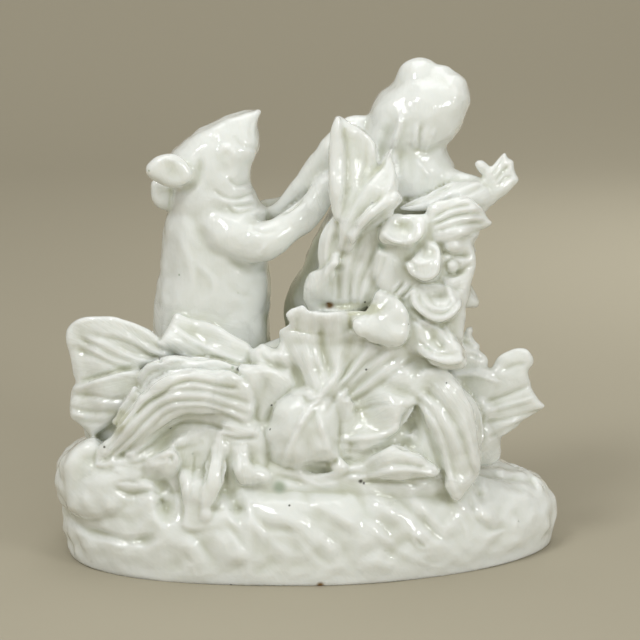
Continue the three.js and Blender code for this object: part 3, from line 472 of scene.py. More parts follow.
flowers = {
    "cupFlower": dict(
        outline=[(19.5, 88.5), (20, 91), (21.5, 93), (22.5, 94.5), (24.5, 95.5), (27, 95.5),
            (29.5, 95.5), (31.5, 95.5), (33, 94.5), (33.5, 93), (33.5, 90.5), (32.5, 88.5), (31, 87),
            (29.5, 86), (27.5, 85.5), (25.5, 86), (23, 86.5), (21, 87)],
        depth=[(26, 95, -15), (22, 86.5, -20), (31.5, 88, -19)], thick=4.6, edge=2.4, behind=6),
    "facingFlower": dict(
        outline=[(27, 81.5), (27.5, 80), (28.5, 78.5), (30, 77.5), (31.5, 76.5), (33.5, 76),
            (35.5, 76.5), (36.5, 77.5), (37.5, 80), (38, 82.5), (37.5, 85), (36.5, 87), (35.5, 88),
            (33.5, 88.5), (32, 87), (30.5, 85.5), (29, 83)],
        depth=[(34.5, 90, -17), (31.5, 78, -22)], thick=4.6, edge=2.2, behind=6),
    "ribbedPetal": dict(
        outline=[(33.5, 97.5), (37.5, 99), (40.5, 100), (44, 100.5), (46.5, 99), (48.5, 97), (50, 94.5),
            (51.5, 93), (50, 91.5), (47.5, 90.5), (44.5, 89), (41.5, 88), (38.5, 87), (35.5, 87.5),
            (34, 90.5), (33, 94.5)],
        depth=[(34.5, 95.5, -17), (43, 97.5, -17), (50.5, 93, -13), (40, 89, -20)],
        thick=2.6, edge=2, behind=4),
    "sideColumn": dict(
        outline=[(40, 89.5), (44.5, 90), (48, 90), (47, 88), (46, 85.5), (45.5, 81.5), (44.5, 78),
            (46, 74), (48, 71), (47.5, 69), (44.5, 68.5), (41.5, 69), (40, 72), (38.5, 76.5),
            (37.5, 81.5), (38, 86.5)],
        depth=[(48, 89, -14), (38.5, 85, -17), (47, 70.5, -12), (41.5, 70.5, -17)],
        thick=4, edge=2.2, behind=5),
    "bead": dict(
        outline=[(40.5, 81.5), (42, 81), (42.5, 79.5), (41.5, 78.5), (40, 78.5), (39, 79.5),
            (39.5, 81)],
        depth=[(40.5, 80, -18)], thick=2.2, edge=1.8, behind=4),
    "columnTop": dict(
        outline=[(38, 87), (40.5, 88), (44, 88), (46, 87), (45.5, 85), (42.5, 84.5), (39, 84.5)],
        depth=[(40.5, 86, -20), (45.5, 86, -17)], thick=2.2, edge=1.6, behind=3),
    "columnLow": dict(
        outline=[(38, 76.5), (40, 77.5), (43, 78), (45, 77), (45, 75.5), (43, 74), (40, 74)],
        depth=[(40, 75.5, -20), (44.5, 76, -17)], thick=2.2, edge=1.6, behind=3),
    "shallowCup": dict(
        outline=[(28.5, 71), (28.5, 73.5), (30, 74.5), (32, 75), (35, 75.5), (37.5, 75.5), (40.5, 74.5),
            (42.5, 73.5), (43.5, 71.5), (43.5, 69.5), (42.5, 67.5), (41, 65.5), (39, 64), (36.5, 64),
            (34.5, 65), (32.5, 66.5), (30.5, 67.5), (29, 69)],
        depth=[(36, 75.5, -18), (36, 66, -23)], thick=4.4, edge=2.2, behind=7),
    "hangingCup": dict(
        outline=[(29, 64.5), (29.5, 61.5), (30, 58.5), (31, 56.5), (33, 54.5), (35, 52.5), (37.5, 51.5),
            (40, 51), (43, 51), (44.5, 52), (45, 53.5), (44.5, 56), (43, 58.5), (41.5, 61),
            (39.5, 63.5), (36.5, 65), (33.5, 66.5), (30.5, 66)],
        depth=[(33, 63.5, -20), (40, 53, -25)], thick=4.6, edge=2.2, behind=7),
    "underPetal": dict(
        outline=[(29, 70.5), (31, 69), (33.5, 67), (33, 64.5), (30.5, 64), (29, 65.5)],
        depth=[(31.5, 68, -19)], thick=3, edge=2, behind=6),
    "columnNub": dict(
        outline=[(38, 87), (39.5, 88), (41.5, 88), (44, 87), (46, 86.5), (47, 85), (45, 84), (42.5, 84),
            (40, 84), (38.5, 85)],
        depth=[(40, 85.5, -18), (45.5, 86, -14)], thick=2.6, edge=1.6, behind=4),
    "columnBar": dict(
        outline=[(39, 76.5), (40.5, 77.5), (42.5, 78), (44.5, 78.5), (45.5, 79), (46, 78), (45, 76),
            (43, 75), (41, 74), (39, 74.5)],
        depth=[(40.5, 75.5, -17), (45, 78, -14)], thick=2.4, edge=1.6, behind=4),
    "sideLeafTip": dict(
        outline=[(43, 76.5), (44.5, 77.5), (46, 75.5), (47.5, 72.5), (48, 70.5), (47.5, 69),
            (45.5, 69.5), (43.5, 70), (42.5, 72)],
        depth=[(45.5, 73.5, -12)], thick=2.6, edge=1.8, behind=4),
    "loopPetal": dict(
        outline=[(28, 71.5), (28.5, 73.5), (29.5, 74.5), (31, 74.5), (31, 72.5), (30, 70.5), (29.5, 68),
            (28.5, 68.5)],
        depth=[(29.5, 72, -20)], thick=3, edge=1.8, behind=5),
    "smoothPetal": dict(
        outline=[(19.5, 73.5), (17.5, 69.5), (15.5, 67), (12.5, 65), (13.5, 62), (16, 60), (19.5, 58.5),
            (23, 57), (26.5, 57.5), (28.5, 60), (29, 63.5), (28.5, 67.5), (26.5, 70.5), (23.5, 72.5)],
        depth=[(19.5, 72, -20), (15.5, 61, -25), (26, 59.5, -26), (27, 66.5, -24)],
        thick=2.8, edge=2.2, crown=0.5, behind=5),
    "petalGap": dict(
        outline=[(19.5, 86), (24, 85.5), (27.5, 83), (31, 75.5), (29.5, 69.5), (26, 70), (21.5, 72.5),
            (18, 77.5)],
        depth=[(24.5, 75, -18.5), (22, 82, -18)], thick=3, edge=3, behind=8),
    "flowerBack": dict(
        outline=[(20, 90), (24, 94.5), (31.5, 95.5), (39, 94.5), (44.5, 90), (47, 83), (46, 75.5),
            (44.5, 69), (44, 61.5), (42.5, 56), (36, 54.5), (30, 55), (26, 58.5), (25, 63.5), (27, 68),
            (26, 72), (22, 76.5), (19.5, 83)],
        depth=[(26, 90.5, -17.5), (40, 82, -16.5), (37.5, 65, -19.5), (29.5, 59.5, -21)],
        thick=3, edge=3, behind=9),
}

middleForms = {
    "ruffledBody": dict(
        outline=[(-7.5, 61.5), (-5.5, 63.5), (-2, 63.5), (5, 63.5), (10.5, 64), (15.5, 65), (18, 60.5),
            (22.5, 57), (26, 56), (22, 52), (16.5, 48.5), (12, 46), (9, 43), (6.5, 41.5), (3, 41.5),
            (0.5, 43), (-1.5, 46.5), (-4, 50), (-7.5, 51.5), (-11, 51), (-14.5, 51.5), (-16, 54.5),
            (-15.5, 56.5), (-14, 57.5), (-12.5, 58.5), (-10.5, 57.5), (-8.5, 57), (-7.5, 60)],
        depth=[(-2, 62, -18), (9, 62, -18), (-2, 53.5, -20), (15, 56.5, -19), (5, 43, -23)],
        thick=4.6, edge=3.2, behind=9),
    "ruffledRim": dict(
        outline=[(-3, 69), (-1, 69.5), (0.5, 68), (2, 68), (5.5, 67.5), (10, 68), (15.5, 68), (18, 66),
            (18, 62), (17, 58.5), (12.5, 56), (6.5, 55), (-0.5, 55), (-4, 56), (-7.5, 58.5), (-8, 60.5),
            (-7.5, 62.5), (-5, 64), (-5.5, 65.5), (-6, 67), (-4.5, 68.5)],
        depth=[(-6.5, 67.5, -24), (5, 67, -26), (16.5, 67, -23), (-5, 58, -18), (5, 56.5, -19),
            (15.5, 59.5, -18)], thick=1.4, edge=1.5, behind=1.2),
    "ruffleLobe": dict(
        outline=[(-16, 56.5), (-14, 57.5), (-12.5, 58.5), (-10.5, 57.5), (-8.5, 56.5), (-6.5, 57.5),
            (-5.5, 55.5), (-6.5, 52.5), (-8.5, 51), (-12.5, 50.5), (-15.5, 52), (-16.5, 54.5)],
        depth=[(-12.5, 56.5, -20), (-9, 53, -21)], thick=2.4, edge=2, behind=4),
    "bell": dict(
        outline=[(1.5, 46.5), (-1.5, 46.5), (-3.5, 45.5), (-6.5, 43), (-9, 40.5), (-10.5, 36.5),
            (-12, 32), (-11.5, 28), (-10.5, 24.5), (-7.5, 22.5), (-4, 21.5), (-1, 21.5), (2.5, 22.5),
            (7.5, 23), (10, 25), (9, 29.5), (9, 35.5), (8.5, 41.5), (6.5, 44.5)],
        depth=[(2, 44.5, -22), (-9, 31, -24), (8, 31, -25), (-0.5, 22.5, -26)],
        thick=6, edge=5, crown=2.2, behind=6),
    "bellLip": dict(
        outline=[(-2, 21.5), (0.5, 20), (4, 19), (7.5, 18.5), (10, 19.5), (12, 21.5), (11, 23.5),
            (9, 25.5), (7.5, 23.5), (4, 21.5), (1, 21.5)],
        depth=[(1, 21, -27), (10.5, 22, -28)], thick=3, edge=2.6, behind=4),
    "calyx": dict(
        outline=[(-1.5, 43), (-1, 44.5), (1, 45), (2.5, 44), (3, 42), (1.5, 40.5), (-0.5, 41)],
        depth=[(0.5, 42.5, -27)], thick=2.6, edge=2.4, behind=3),
    "waistBack": dict(
        outline=[(-7, 51.5), (-3, 53), (1.5, 52), (4, 49), (4, 44.5), (0.5, 42), (-4, 42), (-7, 46)],
        depth=[(-2, 47.5, -20), (-5.5, 46.5, -20), (3, 46.5, -21)], thick=3, edge=2.4, behind=6),
    "cleftBack": dict(
        outline=[(-16.5, 35.5), (-12, 36), (-8.5, 33), (-7.5, 26.5), (-10.5, 22.5), (-15, 23.5),
            (-17, 29.5)],
        depth=[(-12.5, 29.5, -23)], thick=3, edge=2.4, behind=7),
    "bellSide": dict(
        outline=[(6.5, 45), (10, 46), (12.5, 43.5), (13.5, 38.5), (13.5, 31.5), (13, 26), (10.5, 24),
            (7.5, 26), (7, 31.5), (6.5, 38.5)],
        depth=[(8, 42.5, -24), (10.5, 34, -23), (10.5, 26, -25)], thick=3, edge=3, behind=7),
    "ribbedFan": dict(
        outline=[(7.5, 42), (10.5, 45), (14.5, 48), (17, 51), (18, 55), (19.5, 58), (23, 59),
            (28.5, 60), (33, 58.5), (35.5, 54.5), (39, 50), (37.5, 47), (33, 44.5), (27, 44),
            (22, 44.5), (17, 43), (12, 40), (8.5, 38)],
        depth=[(10.5, 44, -21), (31.5, 56, -19), (26, 46.5, -23), (23, 58, -21)],
        thick=3, edge=4, behind=8),
}

rightForms = {
    "leafC": dict(
        outline=[(8.5, 34), (8, 38), (10, 42), (14.5, 44.5), (20, 46.5), (25.5, 47), (30, 46),
            (32.5, 43), (31, 40.5), (28.5, 36.5), (26, 33.5), (22.5, 29.5), (19, 27), (15, 25.5),
            (11.5, 24.5), (9, 26.5), (8.5, 30)],
        depth=[(10.5, 29.5, -24), (26, 39, -28), (13.5, 42.5, -20), (27.5, 45, -22), (17.5, 27, -27)],
        thick=2.8, edge=2.4, behind=5),
    "leafD": dict(
        outline=[(11, 21.5), (12.5, 23), (16, 24.5), (19.5, 26.5), (22.5, 28), (25, 29), (29.5, 27),
            (34, 24), (38, 21), (36, 19.5), (31.5, 18.5), (27, 18), (22, 18), (17.5, 18.5),
            (13.5, 19.5), (11.5, 20)],
        depth=[(12.5, 22, -27), (26, 25.5, -31), (37.5, 21.5, -29)], thick=3, edge=2.6, behind=6),
    "strapSheet": dict(
        outline=[(31, 50.5), (35, 51.5), (38.5, 51), (41, 49), (43, 46.5), (45, 43), (46.5, 40),
            (47.5, 36.5), (48.5, 31.5), (49, 27), (49.5, 22.5), (48.5, 19), (47, 17), (45, 14.5),
            (43, 12), (41, 12.5), (40, 15), (39, 19), (38, 25), (36, 30), (34, 34), (31.5, 38.5),
            (29.5, 42), (27, 44.5), (27, 47)],
        depth=[(33, 48, -22), (43, 42.5, -26), (34.5, 31, -27), (47, 22.5, -25), (41.5, 14, -27)],
        thick=3.4, edge=3, behind=8),
    "hollowBlob": dict(
        outline=[(27, 32), (29, 33.5), (31, 33), (31.5, 30.5), (30.5, 28.5), (28, 29), (27, 30)],
        depth=[(29, 31, -25)], thick=2.4, edge=2.4, behind=3),
    "hollowFill": dict(
        outline=[(12.5, 27.5), (16.5, 30), (21.5, 31.5), (24.5, 34), (26.5, 36.5), (29.5, 39),
            (32, 41.5), (35, 37.5), (38, 31), (40, 23.5), (39, 18), (34.5, 18.5), (29, 22), (23, 23.5),
            (16.5, 23), (12.5, 23.5)],
        depth=[(29.5, 34, -22.5), (36, 27, -23.5), (27.5, 27, -24), (17, 26.5, -25)],
        thick=3, edge=3, behind=7),
    "budMass": dict(
        outline=[(40, 61.5), (42, 61.5), (43.5, 61.5), (45, 59.5), (46, 58), (48, 56.5), (49.5, 54.5),
            (50.5, 52), (50, 49), (48, 47), (44.5, 44.5), (40.5, 44.5), (39, 48.5), (39.5, 53),
            (39, 58)],
        depth=[(44.5, 58, -9), (48.5, 51, -8), (41.5, 46.5, -9)], thick=4, edge=3, behind=6),
    "budStem": dict(
        outline=[(44, 61.5), (44.5, 63), (45.5, 63.5), (46.5, 63.5), (47, 62), (46.5, 61), (47.5, 59),
            (48.5, 58), (48, 56.5), (46, 56.5), (44.5, 56.5), (43.5, 58.5), (44.5, 60)],
        depth=[(45.5, 62, -9)], thick=2.6, edge=2, behind=4),
    "budLower": dict(
        outline=[(44.5, 56), (46, 57), (48, 56.5), (50, 55), (51, 53.5), (50.5, 51.5), (48.5, 50.5),
            (46.5, 50.5), (45, 51.5), (44, 53.5)],
        depth=[(47.5, 55, -9)], thick=3.2, edge=2.4, behind=4),
    "stalkPair": dict(
        outline=[(48, 52), (50, 51.5), (52.5, 51), (54.5, 50), (55.5, 49), (54.5, 48), (52.5, 48),
            (50, 49), (48, 50)],
        depth=[(48.5, 51, -10), (54, 49, -10)], thick=2.6, edge=1.6, behind=3),
    "cupLeaf": dict(
        outline=[(50, 49), (52, 51.5), (53.5, 54), (55, 55.5), (57.5, 56.5), (59.5, 57), (62, 56.5),
            (63.5, 54.5), (63.5, 52.5), (62.5, 50.5), (62.5, 48.5), (63, 46.5), (64, 44.5), (65.5, 42),
            (67.5, 40), (65.5, 38.5), (62.5, 36.5), (60.5, 35.5), (59, 33.5), (57, 32), (55, 31),
            (53.5, 30), (51.5, 29), (49.5, 31), (48.5, 35.5), (48.5, 41.5), (49, 46)],
        depth=[(52.5, 48, -10), (62.5, 55, -9), (67.5, 40, -8), (54, 31, -11)],
        thick=2.8, edge=2.2, behind=4),
    "cupLeafMass": dict(
        outline=[(45.5, 42.5), (49, 44.5), (52.5, 42.5), (55.5, 38.5), (55, 34), (54, 30), (53.5, 26),
            (50.5, 23), (47, 23.5), (44.5, 31)],
        depth=[(48.5, 36.5, -10), (54, 31, -8)], thick=5, edge=4, behind=6),
    "hornBack": dict(
        outline=[(40, 50.5), (43.5, 51.5), (48, 51.5), (52.5, 50.5), (54, 47), (52.5, 42.5), (48, 40.5),
            (44, 43), (40.5, 46)],
        depth=[(44.5, 46.5, -11), (51.5, 46.5, -11)], thick=2.4, edge=2, behind=6),
}

leftForms = {
    "fanUpper": dict(
        outline=[(-65.5, 64.5), (-62.5, 66), (-59, 66), (-54.5, 66), (-50, 65), (-46, 63.5),
            (-42.5, 61), (-39.5, 58), (-37.5, 55.5), (-39, 53.5), (-43.5, 52), (-47.5, 50.5), (-52, 49),
            (-57, 48), (-62, 46.5), (-65, 46), (-65.5, 49), (-66, 52.5), (-67, 56), (-67.5, 59),
            (-67.5, 62)],
        depth=[(-66.5, 59.5, -12), (-55, 56.5, -16), (-40, 55, -14)], thick=2.6, edge=2.2, behind=3),
    "fanLower": dict(
        outline=[(-65.5, 46.5), (-62.5, 47.5), (-58.5, 48.5), (-54.5, 50), (-50, 51), (-46, 50.5),
            (-44, 47.5), (-46, 43.5), (-50, 39.5), (-54.5, 35.5), (-58, 33), (-61, 30.5), (-62.5, 32),
            (-64.5, 34.5), (-67, 36.5), (-67.5, 39.5), (-67, 42.5), (-66.5, 44.5)],
        depth=[(-66, 42.5, -13), (-55, 45, -17), (-49.5, 39.5, -18)], thick=2.8, edge=2.4, behind=3),
    "fanRimFirst": dict(
        outline=[(-57, 62), (-54, 62.5), (-50.5, 61.5), (-47, 59.5), (-43, 57.5), (-39, 55.5),
            (-40, 54), (-44, 55), (-48, 57.5), (-52, 59.5), (-55, 60.5)],
        depth=[(-55, 62, -17), (-40, 55.5, -16)], thick=1.8, edge=1.8, behind=2),
    "smallRoll": dict(
        outline=[(-48, 47), (-47.5, 50), (-45.5, 52), (-42.5, 53.5), (-39, 55), (-35.5, 55), (-32, 54),
            (-33, 52), (-36, 51.5), (-39.5, 51), (-42.5, 50), (-44.5, 47.5), (-46.5, 45), (-48, 45.5)],
        depth=[(-47, 48, -20), (-40, 53, -23), (-33, 53, -22)], thick=3.2, edge=2.2, behind=2.5),
    "archBundle": dict(
        outline=[(-60.5, 23.5), (-60, 26), (-58.5, 29), (-55.5, 32), (-53.5, 35.5), (-50.5, 39.5),
            (-48.5, 42.5), (-46, 44.5), (-42.5, 47), (-39, 49), (-36, 50.5), (-32, 51.5), (-29, 51),
            (-25.5, 50.5), (-22, 50.5), (-19, 49), (-16, 47), (-14.5, 43.5), (-14.5, 39.5),
            (-15.5, 35.5), (-17.5, 34), (-20, 35), (-23, 36.5), (-26.5, 37.5), (-30.5, 37.5),
            (-34.5, 37.5), (-38.5, 35.5), (-41.5, 33), (-45, 30.5), (-48.5, 28), (-52.5, 25.5),
            (-56.5, 24)],
        depth=[(-59.5, 24.5, -24), (-47, 39.5, -28), (-33, 44, -30), (-16.5, 42.5, -25)],
        thick=3.4, edge=2.4, behind=3),
    "archPetalTop": dict(
        outline=[(-34.5, 36), (-32, 37), (-29.5, 36.5), (-27, 35), (-26.5, 33.5), (-26.5, 31),
            (-27.5, 29), (-29, 28), (-31, 28), (-33, 27.5), (-34.5, 27), (-36, 27), (-38, 27),
            (-39.5, 28.5), (-40, 30.5), (-38.5, 32), (-36.5, 34)],
        depth=[(-33, 34, -25), (-37, 29, -26)], thick=3, edge=2.4, behind=7),
    "archEnd": dict(
        outline=[(-19.5, 51.5), (-15.5, 52.5), (-11.5, 52.5), (-7.5, 51.5), (-4, 50), (-3, 47),
            (-5.5, 44), (-8, 41.5), (-10, 38), (-11, 34), (-12, 30), (-14.5, 30.5), (-15.5, 34),
            (-15, 39), (-16.5, 44)],
        depth=[(-16, 46.5, -25), (-10.5, 45, -22), (-6, 46.5, -22), (-12.5, 34, -22)],
        thick=3, edge=3, behind=7),
    "topStrap": dict(
        outline=[(-52, 38), (-50.5, 40), (-48.5, 43), (-46, 45), (-42.5, 48), (-39, 50), (-35.5, 51),
            (-32, 51.5), (-28.5, 51), (-25, 50.5), (-21, 50), (-18, 48), (-20, 46.5), (-24, 48),
            (-28.5, 48.5), (-32, 49), (-35.5, 48.5), (-39.5, 46.5), (-43, 44.5), (-46, 42),
            (-48.5, 39.5), (-50.5, 37)],
        depth=[(-50.5, 39, -26), (-38.5, 49, -30), (-19, 48.5, -27)], thick=2.4, edge=2, behind=2),
    "strapBack": dict(
        outline=[(-50.5, 40), (-49, 44), (-45.5, 48), (-41, 51), (-36.5, 53), (-30.5, 54.5),
            (-22.5, 53.5), (-17, 52), (-14, 49), (-17, 46.5), (-23, 47.5), (-30, 48), (-37.5, 47),
            (-42.5, 44), (-47.5, 39.5)],
        depth=[(-47, 44.5, -22), (-41, 50, -23), (-30, 51.5, -23), (-17.5, 50.5, -21)],
        thick=2.4, edge=2, behind=5),
    "pigLeaf": dict(
        outline=[(-36.5, 67.5), (-38.5, 65), (-40, 62), (-42, 58.5), (-40, 56.5), (-36.5, 55),
            (-32, 53), (-27.5, 51), (-22.5, 50.5), (-18, 51.5), (-15.5, 53.5), (-15, 56.5), (-17, 59),
            (-21, 61), (-25, 63.5), (-29, 65), (-33, 66)],
        depth=[(-36.5, 66, -12), (-40, 58, -16), (-17.5, 55, -18)], thick=2.6, edge=2.4, behind=4),
    "frill": dict(
        outline=[(-48.5, 46), (-50, 44), (-51.5, 42), (-53, 40), (-54, 37.5), (-55.5, 35.5),
            (-54.5, 34), (-52.5, 35.5), (-50.5, 38), (-48.5, 40), (-47, 43)],
        depth=[(-49.5, 42, -25), (-54.5, 36.5, -24)], thick=2, edge=1.8, behind=2),
}

archForms = {
    "hollowBack": dict(
        outline=[(-52.5, 27), (-47.5, 31.5), (-43, 36), (-37.5, 39.5), (-30, 42), (-22.5, 40.5),
            (-16, 38), (-11.5, 31), (-11, 22), (-12, 17), (-17, 14), (-24.5, 12), (-31, 10.5),
            (-36.5, 12), (-41, 14.5), (-47, 17), (-52, 19)],
        depth=[(-38.5, 31, -24.5), (-24.5, 22.5, -25), (-44, 22.5, -25), (-30, 39.5, -24)],
        thick=4, edge=5, behind=12),
    "bandTop": dict(
        outline=[(-26, 33), (-25, 34.5), (-24, 35.5), (-21.5, 35.5), (-19, 35), (-16, 34.5),
            (-14, 33.5), (-13, 32), (-13.5, 31), (-16, 30), (-19, 30), (-21.5, 29.5), (-24.5, 30),
            (-26, 31)],
        depth=[(-26, 33, -27), (-14.5, 32.5, -26)], thick=3, edge=2, behind=5),
    "flatStalk": dict(
        outline=[(-36, 25.5), (-34, 27), (-31.5, 27.5), (-29, 27.5), (-27.5, 26.5), (-27.5, 23),
            (-28, 19.5), (-28.5, 16.5), (-28.5, 12.5), (-29, 8), (-29, 2.5), (-33, 2), (-36, 3.5),
            (-36, 9), (-36, 13.5), (-36, 17.5), (-36.5, 21.5)],
        depth=[(-32, 28, -24), (-33, 12, -32), (-33, 2.5, -33)], thick=2.6, edge=1.4, behind=9),
    "frontStalk": dict(
        outline=[(-26.5, 31), (-25, 31.5), (-23, 30), (-22, 28.5), (-22.5, 25.5), (-23, 22), (-24, 19),
            (-24.5, 16), (-25.5, 13), (-26.5, 9.5), (-27.5, 5.5), (-30.5, 4.5), (-31.5, 6.5),
            (-31, 10.5), (-31, 14), (-30.5, 17), (-29, 22.5), (-28, 26.5), (-27, 29)],
        depth=[(-26, 31, -27), (-28.5, 14, -33), (-30, 5.5, -33)], thick=3, edge=1.8, behind=8),
    "shortStalk": dict(
        outline=[(-22, 28), (-20.5, 29), (-18, 29.5), (-16.5, 29), (-15.5, 27), (-15, 24.5),
            (-13.5, 23), (-11.5, 21), (-10, 19.5), (-10.5, 17.5), (-12.5, 17), (-15, 16.5),
            (-17.5, 16.5), (-19, 16.5), (-20.5, 18), (-21.5, 20.5), (-22, 23.5)],
        depth=[(-19.5, 28, -26), (-19, 18.5, -29), (-12.5, 18.5, -27)], thick=4, edge=2.8, behind=6),
    "curledPetal": dict(
        outline=[(-47, 23), (-46, 25), (-44.5, 26), (-43, 27.5), (-41, 28), (-39, 28.5), (-37.5, 28),
            (-36, 25.5), (-35.5, 23), (-36.5, 21), (-37.5, 19.5), (-39, 18.5), (-41, 18), (-43, 18.5),
            (-45, 19), (-46.5, 20.5)],
        depth=[(-41, 23.5, -27)], thick=3.8, edge=2.6, crown=1, behind=6),
    "archPetal": dict(
        outline=[(-52.5, 25.5), (-51.5, 24.5), (-49.5, 23.5), (-47.5, 23.5), (-46, 25), (-45, 26.5),
            (-44.5, 28.5), (-45, 30), (-46, 30), (-48, 29), (-50, 27.5), (-52, 27)],
        depth=[(-48.5, 27.5, -26)], thick=3, edge=2.2, behind=5),
    "flatTip": dict(
        outline=[(-60.5, 23), (-58, 24), (-54, 25), (-50, 24), (-47, 23), (-47, 21.5), (-50.5, 21),
            (-55, 21), (-58.5, 21.5)],
        depth=[(-59, 23, -26), (-48.5, 22.5, -27)], thick=2, edge=1.6, behind=4),
    "wavyPetal": dict(
        outline=[(-55.5, 22), (-54, 22.5), (-52, 22.5), (-49.5, 22), (-47, 21), (-47, 19.5), (-48, 18),
            (-50.5, 17), (-52.5, 17.5), (-54.5, 19), (-56, 20.5)],
        depth=[(-51.5, 19.5, -27)], thick=2.6, edge=1.8, behind=5),
    "cornerPetal": dict(
        outline=[(-47, 18.5), (-44.5, 18.5), (-41.5, 18), (-39, 18.5), (-36.5, 19.5), (-35.5, 18),
            (-36, 15.5), (-39, 15.5), (-41.5, 15.5), (-44.5, 16.5)],
        depth=[(-43.5, 17, -25)], thick=2.6, edge=2.4, behind=5),
}

lobe = {"centre": (-54.2, -7, 21.5), "size": (16.9, 23.5, 12.6)}      # the mound's left end
moundForms = {
    "lobeFace": dict(
        outline=[(-60, 31), (-63.5, 30), (-66, 28.5), (-69, 26), (-70.5, 23.5), (-70.5, 21),
            (-69.5, 16), (-69, 12), (-65, 8.5), (-61, 6), (-56.5, 4.5), (-49.5, 3.5), (-44, 3.5),
            (-39.5, 6.5), (-37.5, 11), (-39, 15), (-44, 18), (-49, 20.5), (-53.5, 23.5), (-57, 28)],
        depth=[(-66.5, 22.5, -20), (-55, 17, -25), (-41, 11, -27), (-58, 27, -19)],
        thick=5, edge=4, behind=16),
}


